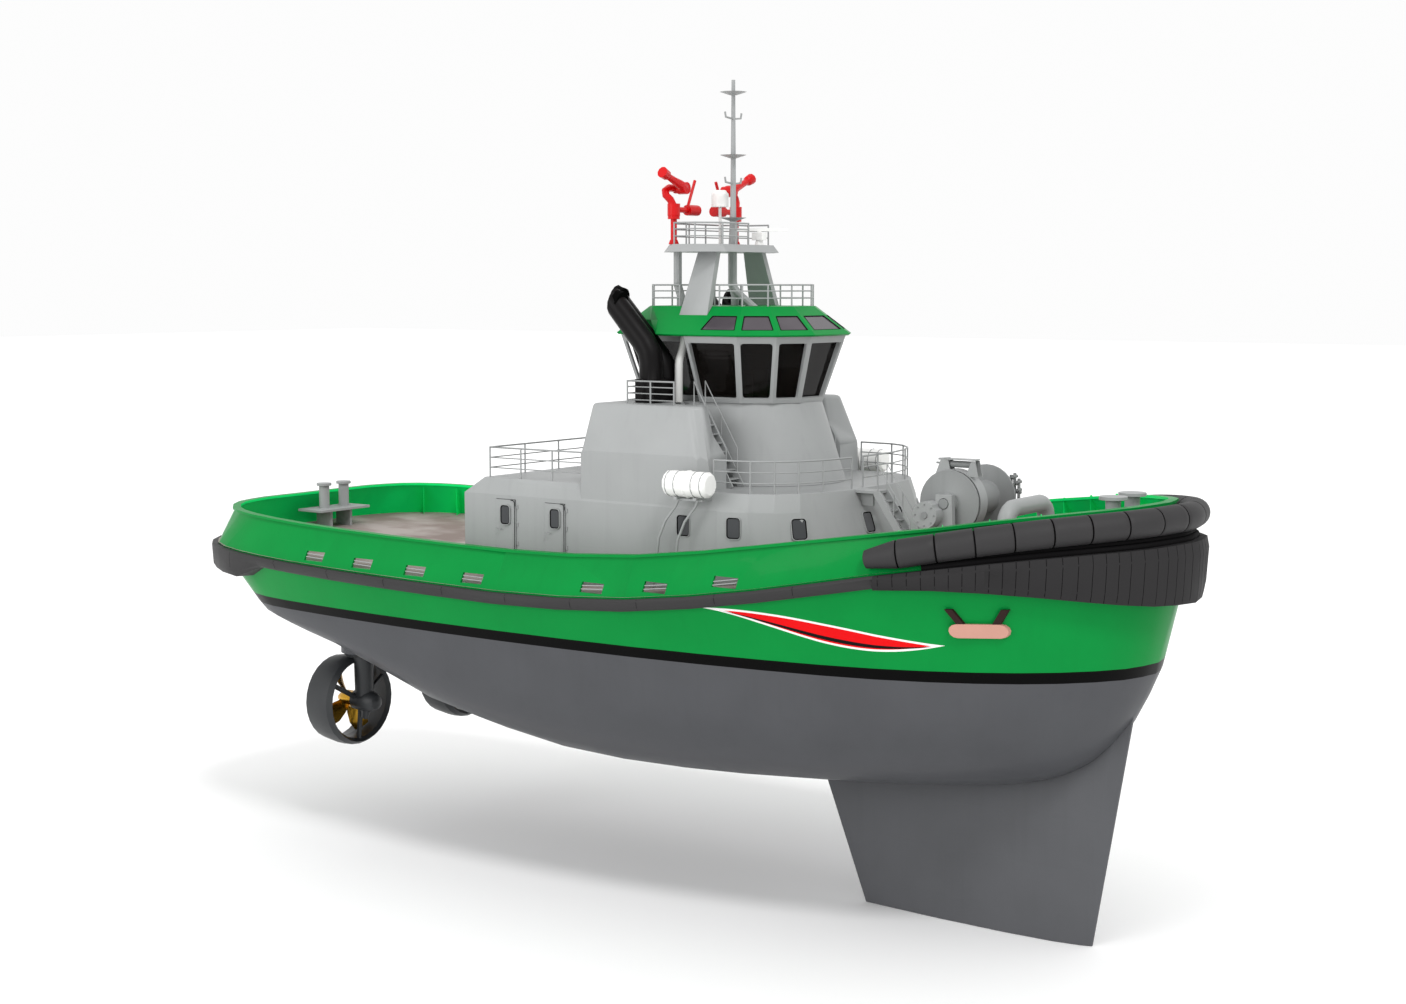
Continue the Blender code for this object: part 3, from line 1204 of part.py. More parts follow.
def make_winch():
    """Towing winch: bearing frames, gear case and brake band bracket, and the drum between them."""
    deck = sheer(WINCH_X) - 0.25
    frame = []
    middle = (CHEEK_IN + CHEEK_OUT) / 2
    for near, far in ((-CHEEK_OUT, -CHEEK_IN), (CHEEK_IN, CHEEK_OUT)):
        rings = []
        for z, half in ((deck, WINCH_FOOT), (WINCH_Z + WINCH_HEAD, WINCH_HEAD)):
            rings.append([(WINCH_X - half, near, z), (WINCH_X + half, near, z),
                          (WINCH_X + half, far, z), (WINCH_X - half, far, z)])
        frame.append(loft(rings, "cheek", GREY))
        frame.append(span((WINCH_X - BEAM_FAR, near, deck), (WINCH_X + BEAM_FAR, far, deck + BEAM_HIGH)))
    for low, high in ((-BEAM_FAR, -BEAM_NEAR), (BEAM_NEAR, BEAM_FAR)):
        frame.append(span((WINCH_X + low, -BEAM_HALF, deck), (WINCH_X + high, BEAM_HALF, deck + BEAM_HIGH + 0.01)))
    gear_x, gear_z = WINCH_X - GEAR_BACK, WINCH_Z - GEAR_DROP
    frame.append(rod((gear_x, -middle, gear_z), (gear_x, -GEAR_OUT, gear_z), GEAR_ROUND, sides=16))
    frame.append(rod((WINCH_X, middle, WINCH_Z), (WINCH_X, MOTOR_OUT, WINCH_Z), MOTOR_ROUND, sides=16))
    made = join("winch_frame", frame, GREY)
    bore = rod((WINCH_X, -2.5, WINCH_Z), (WINCH_X, 1.6, WINCH_Z), 0.166, sides=16, collection=CUTTERS)
    cut(made, [bore, DECK_CUTTER], keep=True)
    flange = [(WINCH_FLANGE, WINCH_HALF + 0.06), (WINCH_FLANGE, WINCH_HALF)]
    end = [(SHAFT, SHAFT_HALF), (SHAFT, CHEEK_IN - 0.0005), (0.3, CHEEK_IN - 0.0005), (0.3, WINCH_HALF + 0.1)]
    profile = end + flange + [(WINCH_CORE, WINCH_HALF - 0.06)]
    profile += [(WINCH_CORE, -RIM_IN + 0.06), (WINCH_FLANGE - RIM_STEP, -RIM_IN),
                (WINCH_FLANGE - RIM_STEP, -WINCH_HALF)]
    profile += [(r, -h) for r, h in reversed(end + flange)]
    rings = [[(r * math.cos(a), h, r * math.sin(a)) for a in [2 * math.pi * k / 28 for k in range(28)]]
             for r, h in profile]
    drum = loft(rings, "winch_drum", GREY)
    drum.location = (WINCH_X, 0, WINCH_Z)


STAPLE_X = 12.0


def make_towing_staple():
    """Arch of thick pipe across the foredeck."""
    half, top, pipe, bend = 1.33, 4.53, 0.26, 0.5
    foot = sheer(STAPLE_X) - 0.3
    points = [(STAPLE_X, -half, foot), (STAPLE_X, -half, top - bend)]
    for k in range(1, 6):
        angle = math.pi * k / 12
        points.append((STAPLE_X, -half + bend * (1 - math.cos(angle)), top - bend * (1 - math.sin(angle))))
    points += [(STAPLE_X, -half + bend, top)]
    points += [(x, -y, z) for x, y, z in reversed(points)]
    staple = tube(points, pipe, "towing_staple", GREY, 12)
    cut(staple, [DECK_CUTTER], keep=True)


BITT_PLATE = 0.09


def make_bitts(name, x, posts, plate, radius, top, cap):
    """Two posts with wide round caps, on a plate that stands on two webs."""
    half_x, half_y, plate_z = plate
    low = sheer(x) - 0.3
    pieces = [span((x - half_x, -half_y, plate_z - BITT_PLATE), (x + half_x, half_y, plate_z))]
    for y in (-posts, posts):
        pieces.append(span((x - half_x * 0.6, y - 0.06, low), (x + half_x * 0.6, y + 0.06, plate_z - 0.02)))
        pieces.append(rod((x, y, plate_z - 0.05), (x, y, top), radius, sides=14))
        pieces.append(rod((x, y, top - 0.1), (x, y, top), cap, cap, 16))
    bitts = join(name, pieces, GREY)
    cut(bitts, [DECK_CUTTER], keep=True)


def hull_side(x, z):
    """Point of the starboard side at a length and a height between waterline and deck."""
    best = None
    for one, two in zip(STATIONS, STATIONS[1:]):
        down_1, down_2 = 1 - z / one["z_deck"], 1 - z / two["z_deck"]
        first, second = side_point(one, down_1), side_point(two, down_2)
        if first.x <= x <= second.x:
            best = first.lerp(second, (x - first.x) / (second.x - first.x))
    return best


ANCHOR_X, ANCHOR_Z = 12.9, 1.55
PAD_HALF, PAD_ROUND = 0.5, 0.2                       # the crown pad: half its straight run, its round ends
PAD_PROUD, FLUKE_PROUD, ANCHOR_SUNK = 0.17, 0.13, 0.3
FLUKE_FOOT, FLUKE_HEAD, FLUKE_HALF = (0.36, 0.1), (0.66, 0.62), 0.09    # from the pad's middle; half its width


def against_hull(outline, side, proud, name):
    """A pad with an outline of lengths and heights, lying on the hull's side and following it."""
    rings = []
    for rise in (-ANCHOR_SUNK, proud):
        rings.append([(x, side * (abs(hull_side(x, z).y) + rise), z) for x, z in outline])
    return loft(rings, name, PINK)


def make_anchor(side_name, side):
    """Anchor housed flat against the bow: a rounded crown pad, and two flukes in a V above it."""
    outline = []
    for end in (1, -1):
        for k in range(7):
            angle = math.radians(30 * k - 90 if end > 0 else 30 * k + 90)
            outline.append((ANCHOR_X + end * PAD_HALF + PAD_ROUND * math.cos(angle),
                            ANCHOR_Z + PAD_ROUND * math.sin(angle)))
    pieces = [against_hull(outline, side, PAD_PROUD, "pad")]
    for end in (-1, 1):
        outline = []
        for (x, z), half in ((FLUKE_FOOT, FLUKE_HALF), (FLUKE_HEAD, -FLUKE_HALF)):
            outline += [(ANCHOR_X + end * (x - half), ANCHOR_Z + z), (ANCHOR_X + end * (x + half), ANCHOR_Z + z)]
        pieces.append(against_hull(outline, side, FLUKE_PROUD, "fluke"))
    anchor = join(f"anchor_{side_name}", pieces, PINK)
    cut(anchor, [SIDE_CUTTER], keep=True)


make_winch()
make_towing_staple()
make_bitts("bow_bitts", 15.0, 0.67, (0.45, 1.2, 4.12), 0.22, 5.04, 0.4)
make_bitts("stern_bitts", -16.2, 0.5, (0.6, 1.25, 2.75), 0.19, 3.68, 0.27)
for name, side in SIDES:
    make_anchor(name, side)
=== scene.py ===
"""The looks of a harbour escort tug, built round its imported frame: metres, +X forward, +Y port, +Z up."""

import json
import math

import bmesh
import bpy
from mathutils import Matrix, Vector
from mathutils.bvhtree import BVHTree


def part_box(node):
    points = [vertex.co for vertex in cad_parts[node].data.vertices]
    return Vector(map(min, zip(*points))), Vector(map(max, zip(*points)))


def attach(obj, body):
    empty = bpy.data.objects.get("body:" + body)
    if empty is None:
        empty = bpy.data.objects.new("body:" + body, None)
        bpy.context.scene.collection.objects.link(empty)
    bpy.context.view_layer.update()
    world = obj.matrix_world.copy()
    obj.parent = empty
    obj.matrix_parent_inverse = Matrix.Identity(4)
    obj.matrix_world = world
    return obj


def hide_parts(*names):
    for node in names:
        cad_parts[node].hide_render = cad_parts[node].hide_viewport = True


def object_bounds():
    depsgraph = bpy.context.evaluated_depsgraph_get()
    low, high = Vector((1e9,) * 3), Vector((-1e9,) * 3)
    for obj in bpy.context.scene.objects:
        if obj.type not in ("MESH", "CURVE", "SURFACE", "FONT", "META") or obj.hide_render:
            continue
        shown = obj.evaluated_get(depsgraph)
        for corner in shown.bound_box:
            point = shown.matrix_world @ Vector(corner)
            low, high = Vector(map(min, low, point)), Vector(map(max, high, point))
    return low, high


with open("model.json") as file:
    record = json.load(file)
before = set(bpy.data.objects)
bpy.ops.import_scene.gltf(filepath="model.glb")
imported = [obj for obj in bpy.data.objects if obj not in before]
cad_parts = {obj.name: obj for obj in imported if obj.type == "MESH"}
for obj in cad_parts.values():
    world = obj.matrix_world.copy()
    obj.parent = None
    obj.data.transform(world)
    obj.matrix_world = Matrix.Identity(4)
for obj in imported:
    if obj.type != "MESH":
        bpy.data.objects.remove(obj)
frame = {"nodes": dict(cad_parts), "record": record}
cad_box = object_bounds()

# Camera and studio: the photo looks at the starboard bow from 38 m ahead and 54 m out, a little above the
# boat deck. The floor is a pale sheet under the skeg, and the light is a white room with two soft lamps.
CAMERA_PLACE = (38.304, -54.209, 10.95)
VIEW_TURN, VIEW_DIP = math.radians(55.1), math.radians(6.056)
FOCAL_PIXELS, PHOTO_WIDE, SENSOR = 2050, 1406, 36.0
ROOM_LIGHT = 0.98
LAMPS = (("key", (30, -20, 42), 1.1, 12), ("side", (-14, -50, 15), 0.9, 30))    # place, power, degrees wide

camera = bpy.data.objects.new("camera", bpy.data.cameras.new("camera"))
bpy.context.scene.collection.objects.link(camera)
camera.location = CAMERA_PLACE
view = Vector((-math.cos(VIEW_TURN) * math.cos(VIEW_DIP), math.sin(VIEW_TURN) * math.cos(VIEW_DIP),
               -math.sin(VIEW_DIP)))
camera.rotation_euler = view.to_track_quat("-Z", "Y").to_euler()
camera.data.sensor_width = SENSOR
camera.data.lens = FOCAL_PIXELS / PHOTO_WIDE * SENSOR
camera.data.clip_end = 2000
bpy.context.scene.camera = camera


def linear(colour):
    """An sRGB hex colour as linear values with full alpha."""
    channels = [int(colour[i:i + 2], 16) / 255 for i in (1, 3, 5)]
    return [c / 12.92 if c <= 0.04045 else ((c + 0.055) / 1.055) ** 2.4 for c in channels] + [1.0]


def add(tree, kind, inputs=None, **settings):
    """Adds a node with its settings, and sets or links its inputs."""
    made = tree.nodes.new(kind)
    for key, value in settings.items():
        setattr(made, key, value)
    for key, value in (inputs or {}).items():
        if isinstance(value, bpy.types.NodeSocket):
            tree.links.new(value, made.inputs[key])
        else:
            made.inputs[key].default_value = value
    return made


def new_material(name, roughness, metallic=0.0, colour=None, mirror=0.5):
    """A material with its tree, shader and texture place in metres; mirror is its specular level."""
    made = bpy.data.materials.new(name)
    made.use_nodes = True
    tree = made.node_tree
    shader = tree.nodes["Principled BSDF"]
    shader.inputs["Roughness"].default_value = roughness
    shader.inputs["Metallic"].default_value = metallic
    shader.inputs["Specular IOR Level"].default_value = mirror
    if colour:
        shader.inputs["Base Color"].default_value = linear(colour)
    place = add(tree, "ShaderNodeTexCoord").outputs["Object"]
    return made, tree, shader, place


world = bpy.data.worlds.new("white_room")
world.use_nodes = True
world.node_tree.nodes["Background"].inputs["Color"].default_value = (1, 1, 1, 1)
world.node_tree.nodes["Background"].inputs["Strength"].default_value = ROOM_LIGHT
bpy.context.scene.world = world
bpy.context.scene.view_settings.view_transform = "Standard"

for lamp_name, lamp_place, lamp_power, lamp_size in LAMPS:
    lamp = bpy.data.objects.new(lamp_name, bpy.data.lights.new(lamp_name, "SUN"))
    lamp.data.energy = lamp_power
    lamp.data.angle = math.radians(lamp_size)
    lamp.rotation_euler = (-Vector(lamp_place)).to_track_quat("-Z", "Y").to_euler()
    bpy.context.scene.collection.objects.link(lamp)

floor_paper, tree, shader, place = new_material("pale_paper", 0.9, colour="#fbfbfb")
FLOOR_Z, FLOOR_HALF = cad_box[0][2] - 0.01, 600.0
floor_mesh = bpy.data.meshes.new("floor")
floor_mesh.from_pydata([(x, y, FLOOR_Z) for x, y in ((-1, -1), (1, -1), (1, 1), (-1, 1))], [], [(0, 1, 2, 3)])
for point in floor_mesh.vertices:
    point.co.x *= FLOOR_HALF
    point.co.y *= FLOOR_HALF
floor = bpy.data.objects.new("floor", floor_mesh)
floor.data.materials.append(floor_paper)
bpy.context.scene.collection.objects.link(floor)

# Hull: welded steel plate with spray-laid enamel. It is green above a black boot-top, and grey antifouling
# paint below the waterline; plate seams and a faint sag between frames show in low light. The deck is
# gritted brown-grey paint. A plain tapering stripe in white, red and black stands in the bow's paint.
BOOT_TOP = 0.33                         # the black band's height over the waterline
STRIPE_START, STRIPE_END, STRIPE_HALF = 5.0, 12.0, 0.30
STRIPE_HIGH, STRIPE_WAVE = 1.42, 0.36    # the stripe's mean height over the water, and its rise and fall
STRIPE_TURN, STRIPE_SWELL = 3.6, 1.3    # radians of its wave, and a power that moves its widest place ahead
WHITE_EDGE, CORE_DROP, CORE_HALF = 0.06, 0.45, 0.22     # a white edge in metres, a black core as shares
PLATE_LONG, PLATE_TALL = 2.4, 1.5       # metres between welded seams
DECK_OVER = 1.2                         # faces that look up above this height are deck
GRIT = 0.04                             # the deck's grit, drawn ten times too coarse so that it shows


def maths(tree, operation, one, two=0.0):
    """One step of arithmetic on numbers or sockets."""
    return add(tree, "ShaderNodeMath", {0: one, 1: two}, operation=operation).outputs[0]


def mixed(tree, share, one, two):
    """One colour where share is 0 and the other where it is 1."""
    made = add(tree, "ShaderNodeMix", {"Factor": share}, data_type="RGBA")
    for socket, value in ((made.inputs[6], one), (made.inputs[7], two)):
        if isinstance(value, bpy.types.NodeSocket):
            tree.links.new(value, socket)
        else:
            socket.default_value = linear(value)
    return made.outputs[2]


def weather(tree, shader, place, colour, strength=0.07, streaks=0.05):
    """Colour variation in broad patches and thin downward runs, with an uneven gloss."""
    if isinstance(colour, str):
        colour = linear(colour)[:3]
    broad = add(tree, "ShaderNodeTexNoise", {"Vector": place, "Scale": 0.45, "Detail": 5.0}).outputs["Fac"]
    tall = add(tree, "ShaderNodeMapping", {"Vector": place, "Scale": (3.5, 3.5, 0.22)}).outputs["Vector"]
    runs = add(tree, "ShaderNodeTexNoise", {"Vector": tall, "Scale": 1.0, "Detail": 6.0}).outputs["Fac"]
    patch = add(tree, "ShaderNodeMapRange", {"Value": broad, "From Min": 0.35, "From Max": 0.65,
                                             "To Min": 1 - strength, "To Max": 1 + strength / 2}).outputs[0]
    run = add(tree, "ShaderNodeMapRange", {"Value": runs, "From Min": 0.52, "From Max": 0.75,
                                           "To Min": 1.0, "To Max": 1 - streaks}).outputs[0]
    tone = maths(tree, "MULTIPLY", patch, run)
    toned = add(tree, "ShaderNodeVectorMath", {0: colour, 1: tone}, operation="MULTIPLY").outputs[0]
    tree.links.new(toned, shader.inputs["Base Color"])
    rough = shader.inputs["Roughness"].default_value
    gloss = add(tree, "ShaderNodeMapRange", {"Value": broad, "From Min": 0.3, "From Max": 0.7,
                                             "To Min": rough * 0.85, "To Max": rough * 1.2}).outputs[0]
    tree.links.new(gloss, shader.inputs["Roughness"])


def seams(tree, place, long, tall):
    """Height map of welded seams: a thin raised bead on a grid of plates."""
    axes = add(tree, "ShaderNodeSeparateXYZ", {0: place}).outputs
    lines = []
    for axis, pitch in ((0, long), (2, tall)):
        wave = maths(tree, "PINGPONG", axes[axis], pitch / 2)
        lines.append(add(tree, "ShaderNodeMapRange", {"Value": wave, "From Min": 0.0, "From Max": 0.012,
                                                      "To Min": 1.0, "To Max": 0.0}).outputs[0])
    return maths(tree, "MAXIMUM", *lines)


# Hull enamel: a low sheen with faint runs, in bands of colour that follow the waterline.
hull_enamel, tree, shader, place = new_material("hull_enamel", 0.36, mirror=0.05)
x, y, z = add(tree, "ShaderNodeSeparateXYZ", {0: place}).outputs[:3]
along = maths(tree, "DIVIDE", maths(tree, "SUBTRACT", x, STRIPE_START), STRIPE_END - STRIPE_START)
inside = maths(tree, "MULTIPLY", maths(tree, "GREATER_THAN", along, 0.0),
               maths(tree, "LESS_THAN", along, 1.0))
leaning = maths(tree, "POWER", maths(tree, "ABSOLUTE", along), STRIPE_SWELL)
swell = maths(tree, "SINE", maths(tree, "MULTIPLY", leaning, math.pi))
half = maths(tree, "MULTIPLY", swell, STRIPE_HALF)
wave = maths(tree, "COSINE", maths(tree, "MULTIPLY", along, STRIPE_TURN))
middle = maths(tree, "ADD", maths(tree, "MULTIPLY", wave, STRIPE_WAVE), STRIPE_HIGH)
off = maths(tree, "SUBTRACT", z, middle)
away = maths(tree, "ABSOLUTE", off)
colour = mixed(tree, maths(tree, "GREATER_THAN", z, 0.0), "#4e4f52", "#020202")
colour = mixed(tree, maths(tree, "GREATER_THAN", z, BOOT_TOP), colour, "#068238")
for reach, paint in ((0.0, "#e8e8e6"), (WHITE_EDGE, "#d90f14")):
    band = maths(tree, "LESS_THAN", away, maths(tree, "SUBTRACT", half, reach))
    band = maths(tree, "MULTIPLY", band, inside)
    colour = mixed(tree, band, colour, paint)
lower = maths(tree, "ABSOLUTE", maths(tree, "ADD", off, maths(tree, "MULTIPLY", half, CORE_DROP)))
core_reach = maths(tree, "SUBTRACT", maths(tree, "MULTIPLY", half, CORE_HALF), 0.01)
core = maths(tree, "LESS_THAN", lower, core_reach)
colour = mixed(tree, maths(tree, "MULTIPLY", core, inside), colour, "#101011")
weather(tree, shader, place, colour, 0.05, 0.03)
sag = add(tree, "ShaderNodeTexNoise", {"Vector": place, "Scale": 0.9, "Detail": 2.0}).outputs["Fac"]
bead = seams(tree, place, PLATE_LONG, PLATE_TALL)
height = maths(tree, "ADD", maths(tree, "MULTIPLY", sag, 0.6), maths(tree, "MULTIPLY", bead, 0.16))
bump = add(tree, "ShaderNodeBump", {"Strength": 0.16, "Distance": 0.02, "Height": height}).outputs[0]
tree.links.new(bump, shader.inputs["Normal"])
shader.inputs["Coat Weight"].default_value = 0.03

# Gritted deck paint: matt and rough, worn paler in broad patches.
deck_grit, tree, shader, place = new_material("gritted_deck_paint", 0.85, mirror=0.2)
fine = add(tree, "ShaderNodeTexNoise", {"Vector": place, "Scale": 1 / GRIT, "Detail": 3.0}).outputs["Fac"]
worn = add(tree, "ShaderNodeTexNoise", {"Vector": place, "Scale": 0.55, "Detail": 6.0}).outputs["Fac"]
share = add(tree, "ShaderNodeMapRange", {"Value": worn, "From Min": 0.38, "From Max": 0.62}).outputs[0]
tree.links.new(mixed(tree, share, "#847772", "#a39a96"), shader.inputs["Base Color"])
bump = add(tree, "ShaderNodeBump", {"Strength": 0.3, "Distance": 0.01, "Height": fine}).outputs[0]
tree.links.new(bump, shader.inputs["Normal"])


def welded_copy(node, name):
    """A new mesh object from a CAD node, with its split points joined and its flat triangles merged."""
    built = bmesh.new()
    built.from_mesh(frame["nodes"][node].data)
    bmesh.ops.remove_doubles(built, verts=built.verts, dist=2e-5)
    bmesh.ops.dissolve_limit(built, angle_limit=math.radians(0.2), verts=built.verts, edges=built.edges)
    mesh = bpy.data.meshes.new(name)
    built.to_mesh(mesh)
    built.free()
    made = bpy.data.objects.new(name, mesh)
    bpy.context.scene.collection.objects.link(made)
    return made


def body_of(node):
    """The body that a CAD node rides on."""
    for body, nodes in frame["record"]["behaviour"]["bodies"].items():
        if node in nodes:
            return body
    return None


def finish_piece(piece, materials, body, replaces=(), smooth=35):
    for material in materials:
        piece.data.materials.append(material)
    if piece.type == "MESH" and smooth:
        for face in piece.data.polygons:
            face.use_smooth = True
        piece.data.set_sharp_from_angle(angle=math.radians(smooth))
    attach(piece, body)
    for node in replaces:
        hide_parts(node)
    return piece


def dressed(node, material, edge=0.012, smooth=35, segments=2):
    """A CAD node drawn with eased edges in its real finish."""
    piece = welded_copy(node, f"{node}_skin")
    if edge:
        ease = piece.modifiers.new("eased_edges", "BEVEL")
        ease.width = edge
        ease.segments = segments
        ease.limit_method = "ANGLE"
        ease.angle_limit = math.radians(smooth)
    return finish_piece(piece, [material], body_of(node), [node], smooth)


hull = welded_copy("hull", "hull_skin")
finish_piece(hull, [hull_enamel, deck_grit], "vessel", ["hull"], 28)
for face in hull.data.polygons:
    if face.normal.z > 0.8 and face.center.z > DECK_OVER:
        face.material_index = 1

deck_edge = []      # starboard points of the deck's edge from stern to stem, read off the hull
corner_points = {}
for face in hull.data.polygons:
    for index in face.vertices:
        corner_points.setdefault(index, set()).add(face.material_index)
for index, kinds in corner_points.items():
    point = hull.data.vertices[index].co
    if kinds == {0, 1} and point.y <= 1e-4:
        deck_edge.append(point.copy())
deck_edge.sort(key=lambda p: (p.x, -p.y))


def edge_at(x):
    """A place on the starboard deck edge by its x, and the outward direction there."""
    for one, two in zip(deck_edge, deck_edge[1:]):
        if one.x <= x <= two.x and two.x > one.x:
            spot = one.lerp(two, (x - one.x) / (two.x - one.x))
            run = (two - one).normalized()
            return spot, Vector((run.y, -run.x, 0)).normalized()
    return deck_edge[-1].copy(), Vector((1, 0, 0))


# Antifouling: dull grey, with soft patches and faint seams.
antifouling, tree, shader, place = new_material("grey_antifouling", 0.5, mirror=0.2)
weather(tree, shader, place, "#515255", 0.06, 0.04)
bump = add(tree, "ShaderNodeBump", {"Strength": 0.15, "Distance": 0.02,
                                    "Height": seams(tree, place, PLATE_LONG, PLATE_TALL)}).outputs[0]
tree.links.new(bump, shader.inputs["Normal"])
dressed("skeg", antifouling, 0.03, 50)

# Bulwark: green plate leaning in all round the deck, with a flat cap and stays welded inside every 1.2 m.
# Two round bars of grey steel are welded across each freeing port.
BULWARK_LEAN, BULWARK_TALL, BULWARK_THICK = 0.62, 1.2, 0.09
STAY_FIRST, STAY_LAST, STAY_PITCH, STAY_THICK = -16.6, 15.6, 1.2, 0.012
STAY_FOOT, STAY_HEAD, STAY_STOP = 0.66, 0.07, 0.16      # width at foot and head, and its stop below the cap
PORT_PLACES, PORT_CLEAR = (-10.4, -8.2, -5.9, -3.5, 1.2, 3.5, 5.9), 0.5
BAR_RISES, BAR_HALF, BAR_ROUND = (0.2, 0.3), 0.4, 0.018

# Green enamel: the hull's low sheen, and a much brighter copy painted light on the shaded inner face.
greens = []
for paint_name, paint in (("green_enamel", "#068238"), ("green_enamel_painted_light_inboard", "#12e873")):
    green, tree, shader, place = new_material(paint_name, 0.36, mirror=0.05)
    weather(tree, shader, place, paint, 0.05, 0.04)
    bump = add(tree, "ShaderNodeBump", {"Strength": 0.12, "Distance": 0.02,
                                        "Height": seams(tree, place, PLATE_LONG, 40.0)}).outputs[0]
    tree.links.new(bump, shader.inputs["Normal"])
    shader.inputs["Coat Weight"].default_value = 0.03
    greens.append(green)
green_enamel, green_painted_light_inboard = greens
bulwark = dressed("bulwark", green_enamel, 0.008, 30, 1)
bulwark.data.materials.append(green_painted_light_inboard)
# faces that look inboard take the brighter copy: painted light on the bulwark's shaded inner face
for face in bulwark.data.polygons:
    _, out = edge_at(face.center.x)
    if face.normal.dot(Vector((out.x, math.copysign(out.y, face.center.y), 0))) < -0.5:
        face.material_index = 1


def prism(built, ring, thick, out):
    """Adds a plate to a mesh: a ring of points and its copy moved along a direction."""
    push = out.normalized() * thick
    low = [built.verts.new(Vector(p) - push / 2) for p in ring]
    high = [built.verts.new(Vector(p) + push / 2) for p in ring]
    count = len(ring)
    for i in range(count):
        built.faces.new((low[i], low[(i + 1) % count], high[(i + 1) % count], high[i]))
    built.faces.new(list(reversed(low)))
    built.faces.new(high)


def mesh_piece(name, built):
    """A new mesh object from a built mesh, with its faces looking outward."""
    bmesh.ops.recalc_face_normals(built, faces=built.faces)
    mesh = bpy.data.meshes.new(name)
    built.to_mesh(mesh)
    built.free()
    made = bpy.data.objects.new(name, mesh)
    bpy.context.scene.collection.objects.link(made)
    return made


stays = bmesh.new()
x = STAY_FIRST
while x < STAY_LAST:
    spot, out = edge_at(x)
    run = Vector((-out.y, out.x, 0))
    foot = spot - out * (BULWARK_THICK + 0.05) + Vector((0, 0, 0.004))
    head = spot - out * (BULWARK_LEAN + BULWARK_THICK + 0.01) + Vector((0, 0, BULWARK_TALL - STAY_STOP))
    if all(abs(x - port) > PORT_CLEAR for port in PORT_PLACES):
        ring = [foot, head, head - out * STAY_HEAD, foot - out * (STAY_FOOT - 0.04) + Vector((0, 0, 0.12)),
                foot - out * STAY_FOOT]
        for side in (1, -1):
            prism(stays, [(p.x, p.y * side, p.z) for p in ring], STAY_THICK, Vector((run.x, run.y * side, 0)))
    x += STAY_PITCH
# the stays take the brighter copy too: painted light
finish_piece(mesh_piece("bulwark_stays", stays), [green_painted_light_inboard], "vessel")


def pipes(name, chains, radius, material, body="vessel", replaces=(), smooth_bend=False):
    """Round bars or pipes along chains of points, as one curve with filled ends."""
    curve = bpy.data.curves.new(name, "CURVE")
    curve.dimensions = "3D"
    curve.bevel_depth = radius
    curve.bevel_resolution = 2
    curve.use_fill_caps = True
    curve.resolution_u = 5
    for chain in chains:
        line = curve.splines.new("NURBS" if smooth_bend and len(chain) > 2 else "POLY")
        line.points.add(len(chain) - 1)
        for target, point in zip(line.points, chain):
            target.co = (*point, 1)
        if line.type == "NURBS":
            line.order_u = 3
            line.use_endpoint_u = True
    made = bpy.data.objects.new(name, curve)
    bpy.context.scene.collection.objects.link(made)
    return finish_piece(made, [material], body, replaces)


# Grey enamel: a light satin coat that shows its weld seams and faint rain runs.
grey_enamel, tree, shader, place = new_material("grey_enamel", 0.42, mirror=0.3)
weather(tree, shader, place, "#989a9a", 0.04, 0.05)
bump = add(tree, "ShaderNodeBump", {"Strength": 0.10, "Distance": 0.02,
                                    "Height": seams(tree, place, 2.1, 1.45)}).outputs[0]
tree.links.new(bump, shader.inputs["Normal"])

bars = []
for x in PORT_PLACES:
    for side in (1, -1):
        for rise in BAR_RISES:
            spot = []
            for step in (-BAR_HALF, BAR_HALF):
                point, out = edge_at(x + step)
                point = point - out * (0.04 + BULWARK_THICK / 2 + rise * 0.5)
                spot.append((point.x, point.y * side, point.z + rise))
            bars.append(spot)
pipes("freeing_port_bars", bars, BAR_ROUND, grey_enamel)

# Fenders: extruded and moulded rubber, black with a chalky bloom. A D section runs along the sides and
# deepens round the stern, a grooved block wraps the bow, and a roll of butted segments lies over it.
ROLL_START, ROLL_RADIUS, ROLL_OUT, ROLL_UP = 10.2, 0.40, -0.04, 0.62
ROLL_SAG = 0.2                              # how much lower the roll lies at its ends
END_SEGMENT, SEGMENT = 0.93, 1.02           # metres along the roll: its tapered ends, and the rest
RING_PITCH, RING_CORNERS, LINE_STEP = 0.16, 24, 0.07
SEAM_WIDE, SEAM_DEEP, END_SHARE = 0.02, 0.06, 0.62
# near-black pipes in the gap under the bow roll, painted shade between roll and block: their radius and
# places
GAP_SHADE_RADIUS, GAP_SHADE_PLACES = 0.11, ((0.12, 0.14), (0.02, 0.0))       # inward of and above the deck's edge
RIB_PITCH, RIB = 0.34, 0.014
BLOCK_TALL, STRIP_TALL, UNDER_EDGE = 1.85, 0.6, 0.06
JOINT_PITCH, JOINT_AFT, JOINT_FORWARD = 2.4, -17.0, 10.2
FENDER_TUCK = 0.9993                        # keeps the strips on the side fender within the beam

# Moulded rubber: dark, with a chalky bloom and a fine uneven skin that dulls its shine.
black_rubber, tree, shader, place = new_material("moulded_black_rubber", 0.62, mirror=0.35)
weather(tree, shader, place, "#2b2a2b", 0.14, 0.05)
skin = add(tree, "ShaderNodeTexNoise", {"Vector": place, "Scale": 18.0, "Detail": 6.0}).outputs["Fac"]
bump = add(tree, "ShaderNodeBump", {"Strength": 0.25, "Distance": 0.006, "Height": skin}).outputs[0]
tree.links.new(bump, shader.inputs["Normal"])
# Extruded rubber: flatter and more even than the moulded roll.
block_rubber, tree, shader, place = new_material("extruded_block_rubber", 0.7, mirror=0.2)
weather(tree, shader, place, "#272627", 0.1, 0.05)
# Rubber in grooves and seals: near black, as little light reaches it.
shadow_rubber, tree, shader, place = new_material("rubber_in_the_grooves", 0.8, mirror=0.1)
weather(tree, shader, place, "#0b0a0b", 0.1, 0.03)

side_fender = dressed("side_fender", black_rubber, 0.05, 40, 3)
for point in side_fender.data.vertices:
    point.co.y *= FENDER_TUCK
dressed("bow_block_fender", block_rubber, 0.04, 40, 2)


